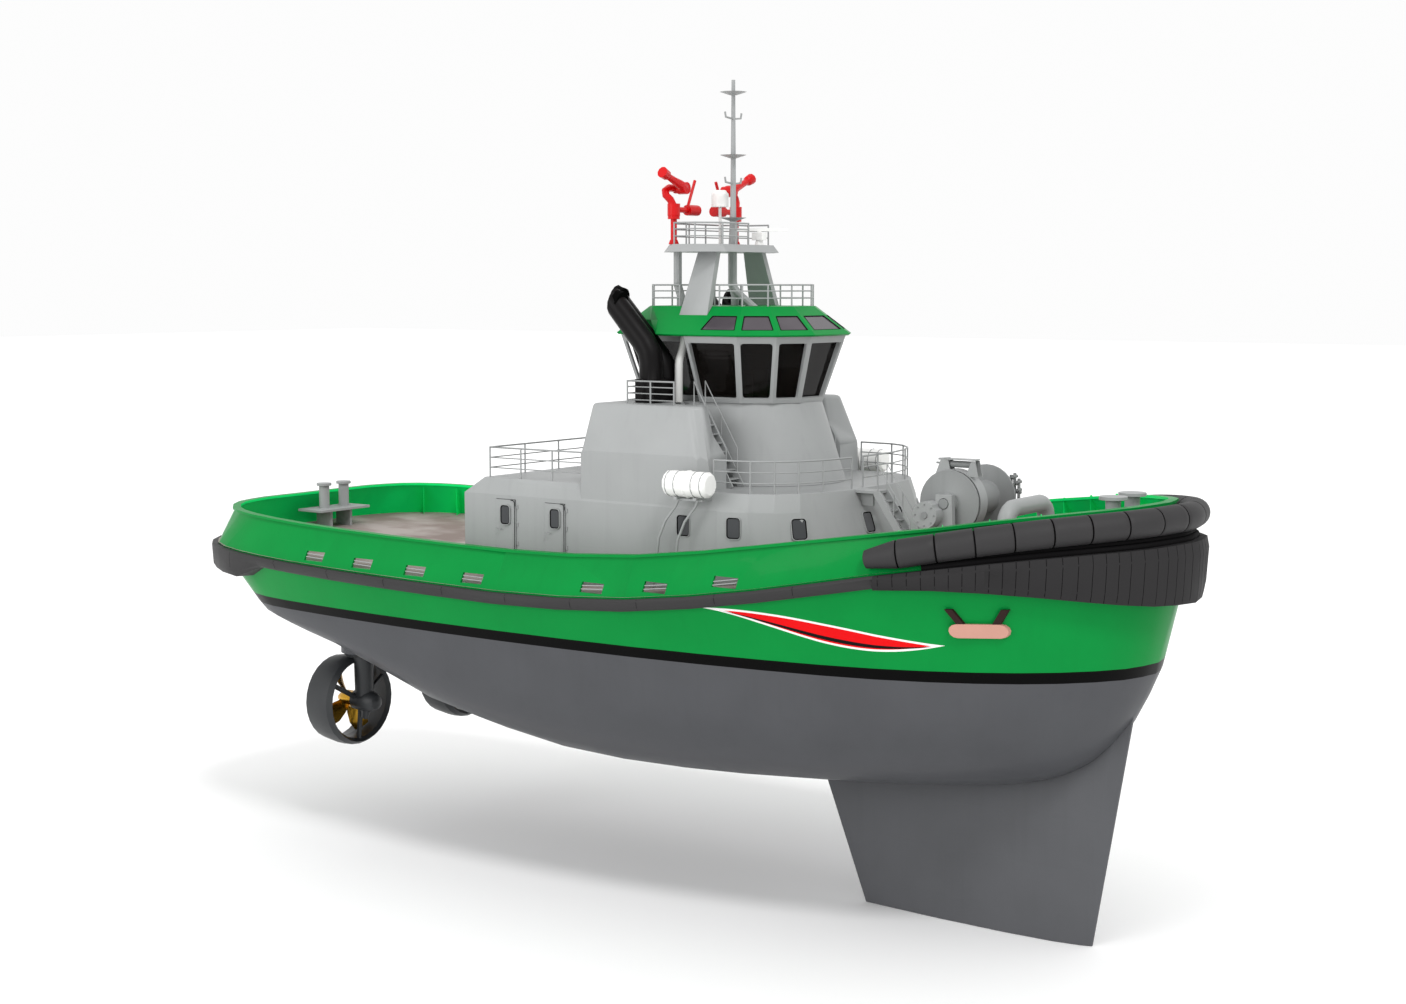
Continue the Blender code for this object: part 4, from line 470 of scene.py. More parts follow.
def smooth_chain(points, step):
    """A smooth line through points, cut to near-equal steps."""
    dense = []
    for i in range(len(points) - 1):
        before = points[max(i - 1, 0)]
        one, two = points[i], points[i + 1]
        after = points[min(i + 2, len(points) - 1)]
        for k in range(12):
            t = k / 12
            bend = 2 * before - 5 * one + 4 * two - after
            twist = 3 * one - before - 3 * two + after
            dense.append(0.5 * (2 * one + (two - before) * t + bend * t ** 2 + twist * t ** 3))
    dense.append(points[-1])
    chain, gone = [dense[0]], 0.0
    for one, two in zip(dense, dense[1:]):
        gone += (two - one).length
        if gone >= step:
            chain.append(two)
            gone = 0.0
    return chain


bow = [p for p in deck_edge if p.x > ROLL_START - 2]
bow = bow + [Vector((p.x, -p.y, p.z)) for p in reversed(bow) if abs(p.y) > 0.01]
bow_line = [p for p in smooth_chain(bow, LINE_STEP) if p.x > ROLL_START]


def frame_at(chain, i):
    """Outward and upward directions across a chain at one of its points."""
    along = (chain[min(i + 1, len(chain) - 1)] - chain[max(i - 1, 0)]).normalized()
    out = along.cross(Vector((0, 0, 1))).normalized()
    return out, out.cross(along).normalized()


def spot_along(chain, distance):
    """A place on a chain by its distance from the start, with the directions there."""
    for i in range(1, len(chain)):
        step = (chain[i] - chain[i - 1]).length
        if distance <= step or i == len(chain) - 1:
            return chain[i - 1].lerp(chain[i], min(1.0, distance / step)), *frame_at(chain, i)
        distance -= step


total = sum((two - one).length for one, two in zip(bow_line, bow_line[1:]))
middle_count = round((total - 2 * END_SEGMENT) / SEGMENT)
pitch = (total - 2 * END_SEGMENT) / middle_count
seam_places = [END_SEGMENT + k * pitch for k in range(middle_count + 1)]
cuts = [(0.0, 0.0), (0.03, 0.0), (total - 0.03, 0.0), (total, 0.0)]
rings_on = [k * RING_PITCH for k in range(1, int(total / RING_PITCH))]
cuts += [(ring_on, 0.0) for ring_on in rings_on if all(abs(ring_on - seam) > 0.07 for seam in seam_places)]
for seam in seam_places:
    cuts += [(seam - 2 * SEAM_WIDE, 0.0), (seam - SEAM_WIDE, 0.25), (seam - SEAM_WIDE * 0.6, 1.0),
             (seam + SEAM_WIDE * 0.6, 1.0), (seam + SEAM_WIDE, 0.25), (seam + 2 * SEAM_WIDE, 0.0)]
built, rows, deeps = bmesh.new(), [], []
for distance, deep in sorted(cuts):
    spot, out, up = spot_along(bow_line, distance)
    end = min(distance, total - distance)
    radius = ROLL_RADIUS * (END_SHARE + (1 - END_SHARE) * min(1.0, end / END_SEGMENT))
    radius -= SEAM_DEEP * deep + (0.05 if end < 0.01 else 0.0)
    sag = ROLL_SAG * (1 - math.sin(math.pi * distance / total)) ** 1.5
    centre = spot + out * ROLL_OUT + Vector((0, 0, ROLL_UP - sag))
    rows.append([built.verts.new(centre + radius * (out * math.cos(a) + up * math.sin(a)))
                 for a in (2 * math.pi * k / RING_CORNERS for k in range(RING_CORNERS))])
    deeps.append(deep)
# faces in the seam grooves take the near-black rubber: painted shade
for i in range(len(rows) - 1):
    for k in range(RING_CORNERS):
        j = (k + 1) % RING_CORNERS
        face = built.faces.new((rows[i][k], rows[i][j], rows[i + 1][j], rows[i + 1][k]))
        face.material_index = 1 if deeps[i] + deeps[i + 1] > 1.0 else 0
built.faces.new(rows[0])
built.faces.new(list(reversed(rows[-1])))
finish_piece(mesh_piece("bow_roll", built), [black_rubber, shadow_rubber], "vessel",
             ["bow_roll_fender"], 50)
# near-black pipes fill the gap between the roll and the block: painted shade, not a part
gap_shade_pipes = []
for inward, rise in GAP_SHADE_PLACES:
    gap_shade_pipe = []
    for i in range(12, len(bow_line) - 12, 4):
        out, _ = frame_at(bow_line, i)
        gap_shade_pipe.append(bow_line[i] - out * inward + Vector((0, 0, rise)))
    gap_shade_pipes.append(gap_shade_pipe)
pipes("roll_gap_painted_shade", gap_shade_pipes, GAP_SHADE_RADIUS, shadow_rubber)


def ribs_on(node, chain, pitch, low, high, count):
    """Chains of points down a fender's outer face, one each pitch along a line above it."""
    mesh = frame["nodes"][node].data
    faces = BVHTree.FromPolygons([v.co for v in mesh.vertices], [tuple(p.vertices) for p in mesh.polygons])
    chains, gone = [], 0.0
    for i in range(1, len(chain)):
        gone += (chain[i] - chain[i - 1]).length
        if gone < pitch:
            continue
        gone = 0.0
        out, _ = frame_at(chain, i)
        line = []
        for k in range(count):
            start = chain[i] + out * 3 + Vector((0, 0, high + (low - high) * k / (count - 1)))
            hit = faces.ray_cast(start, -out, 4)
            if hit[0] and (not line or (hit[0] - line[-1]).length < 0.6):
                line.append(hit[0] - out * RIB * 0.7)
        if len(line) > 2:
            chains.append(line)
    return chains


# near-black lines sunk into the block's face: painted shade for its grooves
ribs = ribs_on("bow_block_fender", bow_line, RIB_PITCH, -BLOCK_TALL, -UNDER_EDGE, 22)
pipes("bow_block_groove_shade", ribs, RIB, shadow_rubber)
sides = smooth_chain([p for p in deck_edge if JOINT_AFT < p.x < JOINT_FORWARD], 0.3)
joints = ribs_on("side_fender", sides, JOINT_PITCH, -STRIP_TALL, -UNDER_EDGE, 10)
joints += [[Vector((p.x, -p.y, p.z)) for p in line] for line in joints]
pipes("side_fender_joints", joints, RIB * 0.7, shadow_rubber)

# Superstructure: welded plate in light grey enamel. The deckhouse has small windows of dark toughened glass
# in rubber seals with rounded corners, and weathertight doors with a window, a seal, a grip and hinge lugs.
SIDES = (("starboard", -1), ("port", 1))
HOUSE_ROUND_X, HOUSE_HALF, HOUSE_TOP = 4.2, 4.6, 4.29       # the round front's start, half width and top
ROUNDNESS = 0.8                                 # the power of the round front's curve
FRONT_TOP_X, FRONT_FOOT_X, FRONT_FOOT_Z = 7.10, 8.15, 1.2
HOUSE_TAPER = (FRONT_FOOT_X - FRONT_TOP_X) / (HOUSE_TOP - FRONT_FOOT_Z)     # how fast the front comes in
CASING_EASE, CASING_FOOT_Z = 0.11, 4.9
WINDOW_CORNER, WINDOW_FRAME, WINDOW_SEAL, WINDOW_PROUD = 0.07, 0.02, 0.035, 0.03


def eased_above(node, material, width, floor_z, smooth=25, segments=4):
    """A CAD node with its edges above a height rounded, so that its foot stays sharp against the deck."""
    piece = welded_copy(node, f"{node}_skin")
    built = bmesh.new()
    built.from_mesh(piece.data)
    weight = built.edges.layers.float.new("bevel_weight_edge")
    for edge in built.edges:
        heights = [corner.co.z for corner in edge.verts]
        tall = min(heights) > floor_z or max(heights) > floor_z + 1
        if tall and len(edge.link_faces) == 2 and edge.calc_face_angle() > math.radians(smooth):
            edge[weight] = 1.0
    built.to_mesh(piece.data)
    built.free()
    ease = piece.modifiers.new("rounded_edges", "BEVEL")
    ease.width = width
    ease.segments = segments
    ease.limit_method = "WEIGHT"
    return finish_piece(piece, [material], body_of(node), [node], smooth)


dressed("deckhouse", grey_enamel, 0.015, 14, 2)
dressed("pedestal", grey_enamel, 0.015, 14, 2)
for node in ("casing_starboard", "casing_port"):
    eased_above(node, grey_enamel, CASING_EASE, CASING_FOOT_Z)

# Safety glass: dark grey with a smooth sheen.
dark_glass, tree, shader, place = new_material("tinted_safety_glass", 0.12, mirror=0.3)
tone = add(tree, "ShaderNodeTexNoise", {"Vector": place, "Scale": 1.2, "Detail": 2.0}).outputs["Fac"]
tree.links.new(mixed(tree, tone, "#303234", "#434548"), shader.inputs["Base Color"])


def rounded(wide, tall, corner, turn=5):
    """Corner-rounded rectangle as plane points, anticlockwise."""
    ring = []
    for sx, sy, start in ((1, 1, 0), (-1, 1, 90), (-1, -1, 180), (1, -1, 270)):
        for k in range(turn):
            angle = math.radians(start + 90 * k / (turn - 1))
            ring.append((sx * (wide / 2 - corner) + corner * math.cos(angle),
                         sy * (tall / 2 - corner) + corner * math.sin(angle)))
    return ring


def annulus(built, rings, kind=0):
    """Skins between rings of points, and from the last back to the first."""
    rows = [[built.verts.new(p) for p in ring] for ring in rings]
    for one, two in zip(rows, rows[1:] + rows[:1]):
        for i in range(len(one)):
            j = (i + 1) % len(one)
            built.faces.new((one[i], one[j], two[j], two[i])).material_index = kind


def small_window(name, centre, out, wide, tall, body="vessel"):
    """Window on a wall: a thin raised frame, a black seal and dark glass lying back in it."""
    out = Vector(out).normalized()
    across = Vector((0, 0, 1)).cross(out).normalized()
    up = out.cross(across)

    def lift(grow, corner, rise):
        ring = rounded(wide + 2 * grow, tall + 2 * grow, corner)
        return [Vector(centre) + across * a + up * b + out * rise for a, b in ring]

    edge, seal = WINDOW_FRAME + WINDOW_SEAL, WINDOW_SEAL
    built = bmesh.new()
    annulus(built, (lift(edge, WINDOW_CORNER + edge, -0.02), lift(edge, WINDOW_CORNER + edge, WINDOW_PROUD),
                    lift(seal, WINDOW_CORNER + seal, WINDOW_PROUD), lift(seal, WINDOW_CORNER + seal, -0.02)))
    annulus(built, (lift(seal - 0.001, WINDOW_CORNER + seal, -0.02),
                    lift(seal - 0.001, WINDOW_CORNER + seal, WINDOW_PROUD - 0.004),
                    lift(0, WINDOW_CORNER, 0.012), lift(0, WINDOW_CORNER, -0.02)), 1)
    finish_piece(mesh_piece(f"{name}_frame", built), [grey_enamel, shadow_rubber], body,
                 smooth=30)
    built = bmesh.new()
    prism(built, lift(0.004, WINDOW_CORNER, 0.004), 0.012, out)
    finish_piece(mesh_piece(f"{name}_glass", built), [dark_glass], body, smooth=30)


def front_spot(turn, z):
    """A place on the deckhouse's round front, that many degrees from ahead, with its outward direction."""
    reach = FRONT_TOP_X + (HOUSE_TOP - z) * HOUSE_TAPER
    places = []
    for degrees in (turn - 3, turn + 3):
        angle = math.radians(degrees)
        places.append(Vector((HOUSE_ROUND_X + (reach - HOUSE_ROUND_X) * abs(math.cos(angle)) ** ROUNDNESS,
                              HOUSE_HALF * math.copysign(abs(math.sin(angle)) ** ROUNDNESS, angle), z)))
    run = (places[1] - places[0]).normalized()
    out = Vector((run.y, -run.x, 0))
    steep = abs(out.x) * HOUSE_TAPER
    return (places[0] + places[1]) / 2, Vector((out.x, out.y, steep)).normalized()


DOOR_HALF, DOOR_LOW, DOOR_TOP, LUG_Y = 0.4, 2.27, 4.16, 4.615
DOOR_WINDOWS = (("aft", -3.93), ("forward", -1.91))             # door, and its window's middle x
FRONT_WINDOWS = ((47.5, 3.80), (8.0, 3.82))                     # degrees from ahead, and height
for side_name, side in SIDES:
    small_window(f"house_window_{side_name}_1", (2.98, side * 4.603, 3.78), (0, side, 0), 0.38, 0.56)
    small_window(f"house_window_{side_name}_2", (4.75, side * 4.545, 3.81), (0.13, side, 0), 0.38, 0.56)
    for k, (turn, z) in enumerate(FRONT_WINDOWS):
        spot, out = front_spot(side * turn, z)
        out = Vector((abs(out.x), side * abs(out.y), out.z))
        small_window(f"front_window_{side_name}_{k + 1}", spot + out * 0.004, out, 0.4, 0.56)
    for place_name, x in DOOR_WINDOWS:
        body = f"door_{place_name}_{side_name}"
        dressed(body, grey_enamel, 0.01, 30, 2)
        outer = side * (max(abs(corner[1]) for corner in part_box(body)) - 0.002)
        small_window(f"{body}_window", (x, outer, 3.67), (0, side, 0), 0.3, 0.54, body)
        middle = sum(corner[0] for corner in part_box(body)) / 2
        edge_x = middle + DOOR_HALF - 0.02
        line = [(edge_x - 0.16, outer, DOOR_TOP - 0.015), (edge_x - 0.08, outer, DOOR_TOP - 0.02),
                (edge_x - 0.02, outer, DOOR_TOP - 0.05), (edge_x, outer, DOOR_TOP - 0.12),
                (edge_x, outer, DOOR_LOW)]
        pipes(f"{body}_seal", [line], 0.013, shadow_rubber, body)
        lug_x = max(corner[0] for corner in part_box(body)) + 0.05
        lugs = [[(lug_x, side * LUG_Y, DOOR_LOW + rise), (lug_x, side * LUG_Y, DOOR_LOW + rise + 0.12)]
                for rise in (0.45, 1.05, 1.62)]
        pipes(f"{body}_hinge_lugs", lugs, 0.028, grey_enamel)
        grip_x = middle - DOOR_HALF + 0.1
        grip = [(grip_x, outer, DOOR_LOW + 0.95), (grip_x, outer + side * 0.06, DOOR_LOW + 0.95),
                (grip_x + 0.16, outer + side * 0.06, DOOR_LOW + 0.93)]
        pipes(f"{body}_grip", [grip], 0.018, grey_enamel, body)

# Wheelhouse: raked frames of grey enamelled steel round tinted glass, with rounded corners in each opening, a
# green visor roof glazed near flush in its slopes, and a dark console with two helm chairs inside.
SILL_PLAN = ((-1.0, 1.25), (1.35, 1.25), (1.75, 2.0), (3.25, 2.0), (4.12, 1.48), (4.58, 0.68))
HEAD_PLAN = ((-1.6, 1.6), (1.1, 1.6), (1.6, 2.64), (3.56, 2.64), (4.62, 2.03), (5.21, 1.0))
EAVE_PLAN = ((-1.75, 1.65), (0.60, 1.90), (0.62, 2.78), (3.66, 2.78), (4.76, 2.12), (5.37, 1.03))
ROOF_PLAN = ((-0.80, 1.10), (-0.25, 1.75), (0.90, 1.80), (3.20, 1.80), (3.90, 1.35), (4.30, 0.60))
SILL_Z, HEAD_Z, EAVE_Z, ROOF_Z = 7.3203, 9.37, 9.42, 10.28
PANE_MARGIN, WIDE_MARGIN = 0.1, 0.22            # metres of frame beside a pane
PANE_FOOT, PANE_HEAD = 0.063, 0.10              # the frame under and over a pane, as shares of the wall
VISOR_MARGIN, VISOR_FRONT, VISOR_FOOT, VISOR_HEAD, VISOR_SINK = 0.12, 0.16, 0.18, 0.34, 0.03
ROOM_X = 1.8                                    # a place inside the wheelhouse, to tell which way is out
dressed("wheelhouse", grey_enamel, 0.012, 12, 2)
dressed("wheelhouse_roof", green_enamel, 0.02, 20, 2)


def opening(low_a, low_b, high_a, high_b, margin, foot, head):
    """Four corners of a window cut through a raked wall, and the wall's outward direction."""
    low_a, low_b, high_a, high_b = [Vector(p) for p in (low_a, low_b, high_a, high_b)]
    across = (low_b - low_a).normalized()
    up_a, up_b = high_a - low_a, high_b - low_b
    out = across.cross(up_a).normalized()
    if out.dot(low_a - Vector((ROOM_X, 0, low_a.z))) < 0:
        out = -out
    return [low_a + up_a * foot + across * margin, low_b + up_b * foot - across * margin,
            low_b + up_b * (1 - head) - across * margin, low_a + up_a * (1 - head) + across * margin], out


def soft_corners(corners, reach, grow=0.0):
    """A four-cornered ring with rounded corners, grown outward from its middle by a distance."""
    middle = sum(corners, Vector()) / 4
    corners = [c + (c - middle).normalized() * grow for c in corners]
    ring = []
    for i, corner in enumerate(corners):
        start = corner + (corners[i - 1] - corner).normalized() * reach
        end = corner + (corners[(i + 1) % 4] - corner).normalized() * reach
        for k in range(6):
            t = k / 5
            ring.append(start * (1 - t) ** 2 + corner * 2 * t * (1 - t) + end * t ** 2)
    return ring


def walls_of(low_plan, low_z, high_plan, high_z, pairs):
    """Corner sets of a plan's walls on both sides, each as two low and two high corners."""
    walls = []
    for i, j in pairs:
        for side in (1, -1):
            low = [(low_plan[k][0], low_plan[k][1] * side, low_z) for k in (i, j)]
            high = [(high_plan[k][0], high_plan[k][1] * side, high_z) for k in (i, j)]
            walls.append((*low, *high))
    return walls


built = bmesh.new()
wall_pairs = [(k, k + 1) for k in range(len(SILL_PLAN) - 1)]
walls = [(wall, WIDE_MARGIN if n in (2, 3) else PANE_MARGIN)
         for n, wall in enumerate(walls_of(SILL_PLAN, SILL_Z, HEAD_PLAN, HEAD_Z, wall_pairs))]
for end in (0, -1):
    (low_x, low_y), (high_x, high_y) = SILL_PLAN[end], HEAD_PLAN[end]
    walls.append((((low_x, -low_y, SILL_Z), (low_x, low_y, SILL_Z),
                   (high_x, -high_y, HEAD_Z), (high_x, high_y, HEAD_Z)), PANE_MARGIN))
for wall, margin in walls:
    corners, out = opening(*wall, margin, PANE_FOOT, PANE_HEAD)
    annulus(built, [[p - out * sink for p in soft_corners(corners, reach, grow)] for reach, grow, sink in (
        (0.004, 0.008, 0.06), (0.004, 0.008, 0.025), (0.13, -0.01, 0.025), (0.13, -0.01, 0.06))])
finish_piece(mesh_piece("wheelhouse_window_corners", built), [grey_enamel], "vessel",
             smooth=30)

# Window glass: near black from outside, but it lets the console show through.
clear_glass, tree, shader, place = new_material("tinted_window_glass", 0.05, mirror=0.12)
tone = add(tree, "ShaderNodeTexNoise", {"Vector": place, "Scale": 0.8, "Detail": 2.0}).outputs["Fac"]
tree.links.new(mixed(tree, tone, "#050404", "#16120f"), shader.inputs["Base Color"])
shader.inputs["Alpha"].default_value = 0.78
dressed("wheelhouse_glazing", clear_glass, 0, 12)
# Visor glass: a paler grey that mirrors the sky.
visor_glass, tree, shader, place = new_material("grey_visor_glass", 0.1, mirror=0.4)
tone = add(tree, "ShaderNodeTexNoise", {"Vector": place, "Scale": 0.7, "Detail": 2.0}).outputs["Fac"]
tree.links.new(mixed(tree, tone, "#342f34", "#565056"), shader.inputs["Base Color"])
dressed("skylight_glazing", visor_glass, 0, 12)

panes, rims = bmesh.new(), bmesh.new()
slopes = []
for wall in walls_of(EAVE_PLAN, EAVE_Z, ROOF_PLAN, ROOF_Z, ((3, 4), (4, 5))):
    slopes.append((wall, VISOR_MARGIN))
for side in (1, -1):
    slopes.append((((2.05, 2.78 * side, EAVE_Z), (3.66, 2.78 * side, EAVE_Z),
                    (2.30, 1.80 * side, ROOF_Z), (3.20, 1.80 * side, ROOF_Z)), VISOR_MARGIN))
slopes.append((((5.37, -1.03, EAVE_Z), (5.37, 1.03, EAVE_Z), (4.30, -0.60, ROOF_Z), (4.30, 0.60, ROOF_Z)),
               VISOR_FRONT))
for wall, margin in slopes:
    corners, out = opening(*wall, margin, VISOR_FOOT, VISOR_HEAD)
    prism(panes, [p - out * VISOR_SINK for p in soft_corners(corners, 0.03, 0.01)], 0.02, out)
    annulus(rims, [[p + out * level for p in soft_corners(corners, reach, grow)] for reach, grow, level in (
        (0.03, 0.012, -VISOR_SINK), (0.03, 0.012, 0.004), (0.05, -0.02, 0.004), (0.05, -0.02, -VISOR_SINK))])
finish_piece(mesh_piece("visor_panes", panes), [visor_glass], "vessel", smooth=30)
finish_piece(mesh_piece("visor_seals", rims), [shadow_rubber], "vessel", smooth=30)

# Console plastic: brown-black and satin, in soft patches.
console_plastic, tree, shader, place = new_material("moulded_console_plastic", 0.55, mirror=0.3)
weather(tree, shader, place, "#2a211d", 0.2, 0.0)
dressed("bridge_fittings", console_plastic, 0.03, 30, 3)

# Exhausts and vents: steel pipes in black heat-proof paint, cut upright at their ends with an open sooty
# mouth, and white-painted vent pipes with a double bend in the corner beside the wheelhouse.
MOUTH_LIP, MOUTH_DEEP = 0.03, 0.3
MOUTH_OVER, MOUTH_AREA = 8.6, 0.15              # a mouth is above this height and larger than this
BRIDGE_Z, VENT_RADIUS = 7.32, 0.13

# Heat paint: black with a soft sheen.
heat_paint, tree, shader, place = new_material("black_heat_paint", 0.42, mirror=0.12)
weather(tree, shader, place, "#0c0a0b", 0.2, 0.1)
# White enamel: painted light grey, as painted shade under the wheelhouse eave, with faint runs.
white_enamel_painted_shade, tree, shader, place = new_material("white_enamel_painted_shade", 0.35, mirror=0.3)
weather(tree, shader, place, "#cfcfcd", 0.04, 0.05)
# Soot: black, with no shine.
soot, tree, shader, place = new_material("soot", 0.9, mirror=0.05)
weather(tree, shader, place, "#040404", 0.3, 0.0)
for side_name, side in SIDES:
    funnel = dressed(f"funnel_{side_name}", heat_paint, 0.012, 38, 2)
    funnel.data.materials.append(soot)
    built = bmesh.new()
    built.from_mesh(funnel.data)
    mouths = [face for face in built.faces if face.normal.x < -0.75
              and face.calc_center_median().z > MOUTH_OVER and face.calc_area() > MOUTH_AREA]
    bmesh.ops.inset_individual(built, faces=mouths, thickness=MOUTH_LIP, use_even_offset=True)
    walls = bmesh.ops.inset_individual(built, faces=mouths, thickness=0.001, depth=-MOUTH_DEEP)["faces"]
    for face in walls + mouths:
        face.material_index = 1
    built.to_mesh(funnel.data)
    built.free()
    swan = [(1.27, side * 2.44, BRIDGE_Z), (1.27, side * 2.44, 8.35), (1.25, side * 2.38, 8.62),
            (1.21, side * 2.12, 8.95), (1.18, side * 2.02, 9.12), (1.17, side * 1.98, 9.34)]
    pipes(f"vent_pipe_{side_name}_bend", [swan], VENT_RADIUS, white_enamel_painted_shade,
          replaces=[f"vent_pipe_{side_name}"], smooth_bend=True)

# Rails: round steel pipe in grey enamel, welded to posts. Each follows the edge of the deck that it guards
# with three or four bars, the top one thicker.
POST, RAIL, GAP = 0.027, 0.022, 0.0003
THREE, FOUR, LOW = (0.3, 0.62, 0.97), (0.1, 0.3, 0.5, 0.7), (0.25, 0.47, 0.68)      # bars over the deck
SIDE_REACH, SIDE_HALF = 2.65, 4.3       # the forward rails' reach ahead of the round's start, and abeam
BOAT_DECK_Z, PLATFORM_Z = 4.82, 12.2


def guard_rail(name, node, corners, z, heights, pitch):
    """Posts at a path's corners and between them, with bars along it, in place of a CAD node."""
    path = [Vector((x, y, z + GAP)) for x, y in corners]
    points = [path[0]]
    for one, two in zip(path, path[1:]):
        parts = max(1, math.ceil((two - one).length / pitch))
        points += [one.lerp(two, k / parts) for k in range(1, parts + 1)]
    posts = [[p, p + Vector((0, 0, heights[-1]))] for p in points]
    levels = [[p + Vector((0, 0, h)) for p in path] for h in heights[:-1]]
    pipes(f"{name}_posts", posts, POST, grey_enamel, replaces=[node])
    pipes(f"{name}_bars", levels, RAIL * 0.85, grey_enamel)
    pipes(f"{name}_top", [[p + Vector((0, 0, heights[-1] - RAIL)) for p in path]], RAIL * 1.2, grey_enamel)


aft_edge = ((-0.96, -4.36), (-4.8, -4.36), (-4.8, 4.36), (-0.96, 4.36))
guard_rail("aft_guard", "aft_rail", aft_edge, BOAT_DECK_Z, THREE, 1.9)
front = [(3.88, SIDE_HALF)]
for turn in (75, 60, 45, 30, 12):
    angle = math.radians(turn)
    front.append((HOUSE_ROUND_X + SIDE_REACH * math.cos(angle) ** ROUNDNESS,
                  SIDE_HALF * math.sin(angle) ** ROUNDNESS))
starboard_front = [(x, -y) for x, y in front]
port_front = front + [(front[-1][0], -0.56)]
guard_rail("forward_guard_starboard", "forward_rail_starboard", starboard_front, BOAT_DECK_Z, THREE, 1.6)
guard_rail("forward_guard_port", "forward_rail_port", port_front, BOAT_DECK_Z, THREE, 1.6)
for side_name, side in SIDES:
    corners = ((0.18, side * 2.05), (0.18, side * 3.64), (1.95, side * 3.64))
    guard_rail(f"funnel_guard_{side_name}", f"funnel_rail_{side_name}", corners, BRIDGE_Z, FOUR, 0.9)
roof_edge = [(2.32, 1.74), (3.17, 1.74), (3.83, 1.31), (4.22, 0.57)]
roof_edge += [(x, -y) for x, y in reversed(roof_edge)]
guard_rail("roof_guard_forward", "roof_rail_forward", roof_edge, ROOF_Z, LOW, 1.2)
roof_aft = [(0.8, 1.72), (-0.22, 1.69), (-0.73, 1.06)]
roof_aft += [(x, -y) for x, y in reversed(roof_aft)]
guard_rail("roof_guard_aft", "roof_rail_aft", roof_aft, ROOF_Z, LOW, 1.2)
platform_edge = [(2.2, 0.05), (2.2, -1.39), (1.63, -2.07), (0.84, -2.07), (0.84, -1.42), (0.27, -1.38),
                 (0.27, 1.38), (0.84, 1.42), (0.84, 2.07), (1.63, 2.07)]
guard_rail("platform_guard", "platform_rail", platform_edge, PLATFORM_Z, LOW, 1.0)

# Masts, platform, stairs, rafts and mooring gear: welded steel with eased edges, in grey enamel. The rafts
# are white glassfibre canisters held by grey bands, and the dome and radar are glassfibre too.
RAFT_X, RAFT_Y, RAFT_Z, RAFT_ROUND = 3.55, 5.12, 5.1, 0.385
RAFT_BANDS, BAND_RADIUS, BAND_CORNERS = (-0.62, -0.31, 0.0, 0.31, 0.62), 0.016, 20
STEELWORK = ("monitor_platform", "signal_mast", "forward_stair", "casing_stair_starboard",
             "casing_stair_port", "towing_staple", "bow_bitts", "stern_bitts", "liferaft_cradle_starboard",
             "liferaft_cradle_port")
for node in STEELWORK:
    dressed(node, grey_enamel, 0.008, 35, 2)

# Glassfibre: white and smooth, with a soft gloss.
glassfibre, tree, shader, place = new_material("white_glassfibre", 0.35, mirror=0.3)
weather(tree, shader, place, "#eeeeec", 0.04, 0.02)
for node in ("satellite_dome", "radar_base", "radar_scanner"):
    dressed(node, glassfibre, 0.015, 35, 3)
for side_name, side in SIDES:
    dressed(f"liferaft_{side_name}", glassfibre, 0.05, 35, 3)
    turns = [math.tau * k / BAND_CORNERS for k in range(BAND_CORNERS + 1)]
    hoops = []
    for along in RAFT_BANDS:
        hoops.append([(RAFT_X + along, side * RAFT_Y + RAFT_ROUND * math.sin(a),
                       RAFT_Z + RAFT_ROUND * math.cos(a)) for a in turns])
    pipes(f"liferaft_bands_{side_name}", hoops, BAND_RADIUS, grey_enamel)

# Towing winch: a drum with a wide brake rim between bearing cheeks, all in grey enamel. A band with its
# clamp and spring can goes round the rim, a bolted hub ring is on the drum, and valves stand to port.
WINCH_X, WINCH_Z = 10.1, 4.6
BAND_ROUND, BAND_THICK, BAND_IN, BAND_OUT = 0.962, 0.02, -0.66, -1.10
HUB_Y, GEAR_X, GEAR_Y, GEAR_Z = -1.27, 9.69, -1.955, 4.28
CLAMP_TOP, SPRING_Y, SPRING_Z = 5.87, -0.88, 5.72
VALVE_Y, VALVES = 1.45, ((10.78, 5.26), (10.9, 5.32), (11.04, 5.16))       # each valve's x and top
ACROSS = Vector((0, 1, 0))

# Winch enamel: the same grey painted darker, as painted shade on the winch, with stronger patches and runs.
grey_painted_shade, tree, shader, place = new_material("grey_enamel_painted_shade_on_the_winch", 0.4, mirror=0.3)
weather(tree, shader, place, "#858787", 0.08, 0.08)
dressed("winch_frame", grey_enamel, 0.008, 35, 2)
dressed("winch_drum", grey_painted_shade, 0.012, 35, 2)


def circle(x, y, z, radius, count):
    """Points on an upright circle that faces across the deck."""
    return [Vector((x + radius * math.cos(a), y, z + radius * math.sin(a)))
            for a in (math.tau * k / count for k in range(count))]


def wheel_rings(rings):
    """Rings of points round the drum's axis: each is a radius and a place across the deck."""
    return [circle(WINCH_X, y, WINCH_Z, radius, 40) for radius, y in rings]


def bolt_ring(built, x, y, z, radius, count, bolt):
    """Adds a ring of six-sided bolt heads to a mesh."""
    for middle in circle(x, y, z, radius, count):
        prism(built, circle(*middle, bolt, 6), 0.04, ACROSS)


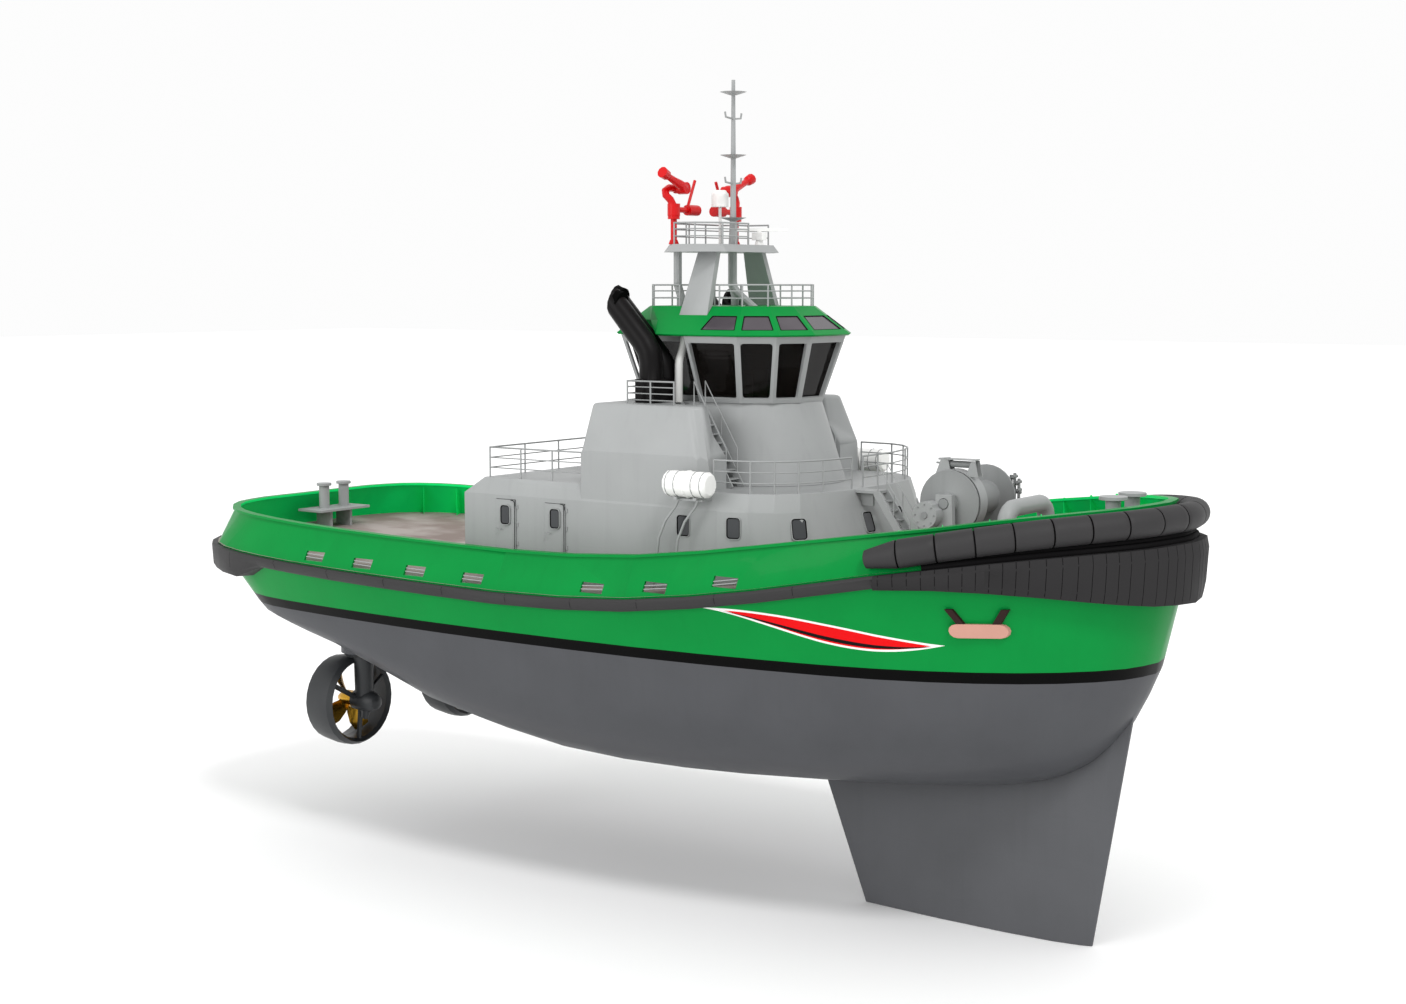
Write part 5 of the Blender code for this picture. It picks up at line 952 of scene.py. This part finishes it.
built = bmesh.new()
annulus(built, wheel_rings(((BAND_ROUND, BAND_OUT), (BAND_ROUND + BAND_THICK, BAND_OUT),
                            (BAND_ROUND + BAND_THICK, BAND_IN), (BAND_ROUND, BAND_IN))))
finish_piece(mesh_piece("winch_brake_band", built), [grey_enamel], "vessel", smooth=30)
built = bmesh.new()
annulus(built, wheel_rings(((0.18, -1.2), (0.34, -1.2), (0.34, -1.262), (0.30, HUB_Y), (0.18, HUB_Y))))
bolt_ring(built, WINCH_X, HUB_Y, WINCH_Z, 0.26, 10, 0.024)
finish_piece(mesh_piece("winch_hub_ring", built), [grey_painted_shade], "winch_drum", smooth=30)
built = bmesh.new()
for x_low, x_high, z_low, z_high in ((9.66, 9.96, 5.40, 5.86), (10.66, 10.84, 5.38, 5.84)):
    for y in (-1.02, -0.74):
        prism(built, [Vector((x_low - 0.12, y, z_low)), Vector((x_high + 0.1, y, z_low)),
                      Vector((x_high, y, z_high)), Vector((x_low + 0.06, y, z_high))], 0.03, ACROSS)
plate = [Vector((x, y, CLAMP_TOP)) for x, y in ((9.9, -1.06), (10.84, -1.06), (10.84, -0.7), (9.9, -0.7))]
prism(built, plate, 0.03, Vector((0, 0, 1)))
finish_piece(mesh_piece("winch_brake_brackets", built), [grey_enamel], "vessel", smooth=30)
spring = [(9.86, SPRING_Y, SPRING_Z), (10.74, SPRING_Y, SPRING_Z)]
rods = [[(9.5, SPRING_Y, SPRING_Z + 0.02), spring[0]], [(9.62, -0.98, 5.86), (10.0, -0.98, 5.9)]]
pipes("winch_spring_can", [spring], 0.1, grey_painted_shade)
pipes("winch_brake_rod", rods, 0.03, grey_enamel)
valves = []
for x, top in VALVES:
    valves += [[(x, VALVE_Y, 4.2), (x, VALVE_Y, top)],
               [(x, VALVE_Y - 0.13, top - 0.1), (x, VALVE_Y + 0.13, top - 0.1)],
               [(x, VALVE_Y - 0.11, top - 0.34), (x, VALVE_Y + 0.13, top - 0.34)]]
valves.append([(10.7, VALVE_Y, 4.75), (11.12, VALVE_Y, 4.75)])
pipes("winch_valve_bank", valves, 0.05, grey_painted_shade)
built = bmesh.new()
bolt_ring(built, GEAR_X, GEAR_Y, GEAR_Z, 0.31, 8, 0.025)
prism(built, circle(GEAR_X, GEAR_Y - 0.005, GEAR_Z, 0.1, 16), 0.06, ACROSS)
finish_piece(mesh_piece("winch_gear_bolts", built), [grey_painted_shade], "vessel", smooth=30)

# Fire monitors: cast and flanged pipe in gloss red enamel. Each has a riser on the platform, a body that
# trains on it, and a barrel that elevates on the body.

# Red enamel: a wet-looking gloss with hardly any wear.
red_enamel, tree, shader, place = new_material("red_enamel", 0.28, mirror=0.25)
weather(tree, shader, place, "#c4070c", 0.06, 0.0)
for side_name in ("starboard", "port"):
    for kind in ("riser", "body", "barrel"):
        dressed(f"monitor_{kind}_{side_name}", red_enamel, 0.012, 35, 2)

# Drives and anchors: steering nozzles in dark paint round bronze propellers, and anchors housed flat on the
# bow, each a pale painted crown pad under two dark flukes.
FLUKE_Z = 1.78              # the flukes start above this height

# Painted steel: dark and satin, with patches where it has worn.
dark_steel, tree, shader, place = new_material("dark_painted_steel", 0.4, mirror=0.35)
weather(tree, shader, place, "#2c2e30", 0.12, 0.05)
# Bronze: bright and warm, as the water keeps it polished.
bronze, tree, shader, place = new_material("polished_propeller_bronze", 0.26, 1.0)
weather(tree, shader, place, "#c99a35", 0.1, 0.0)
# Pad paint: pale and dull.
pale_plate, tree, shader, place = new_material("pale_anchor_plate", 0.5, mirror=0.2)
weather(tree, shader, place, "#c08f80", 0.08, 0.0)
# Fluke steel: bare, dark and rusty brown.
dark_fluke, tree, shader, place = new_material("bare_fluke_steel", 0.6, mirror=0.2)
weather(tree, shader, place, "#2a1512", 0.3, 0.1)
for side_name in ("starboard", "port"):
    dressed(f"thruster_{side_name}", dark_steel, 0.015, 35, 2)
    dressed(f"propeller_{side_name}", bronze, 0.006, 35, 2)
    anchor = dressed(f"anchor_{side_name}", pale_plate, 0.02, 35, 2)
    anchor.data.materials.append(dark_fluke)
    for face in anchor.data.polygons:
        if face.center.z > FLUKE_Z:
            face.material_index = 1
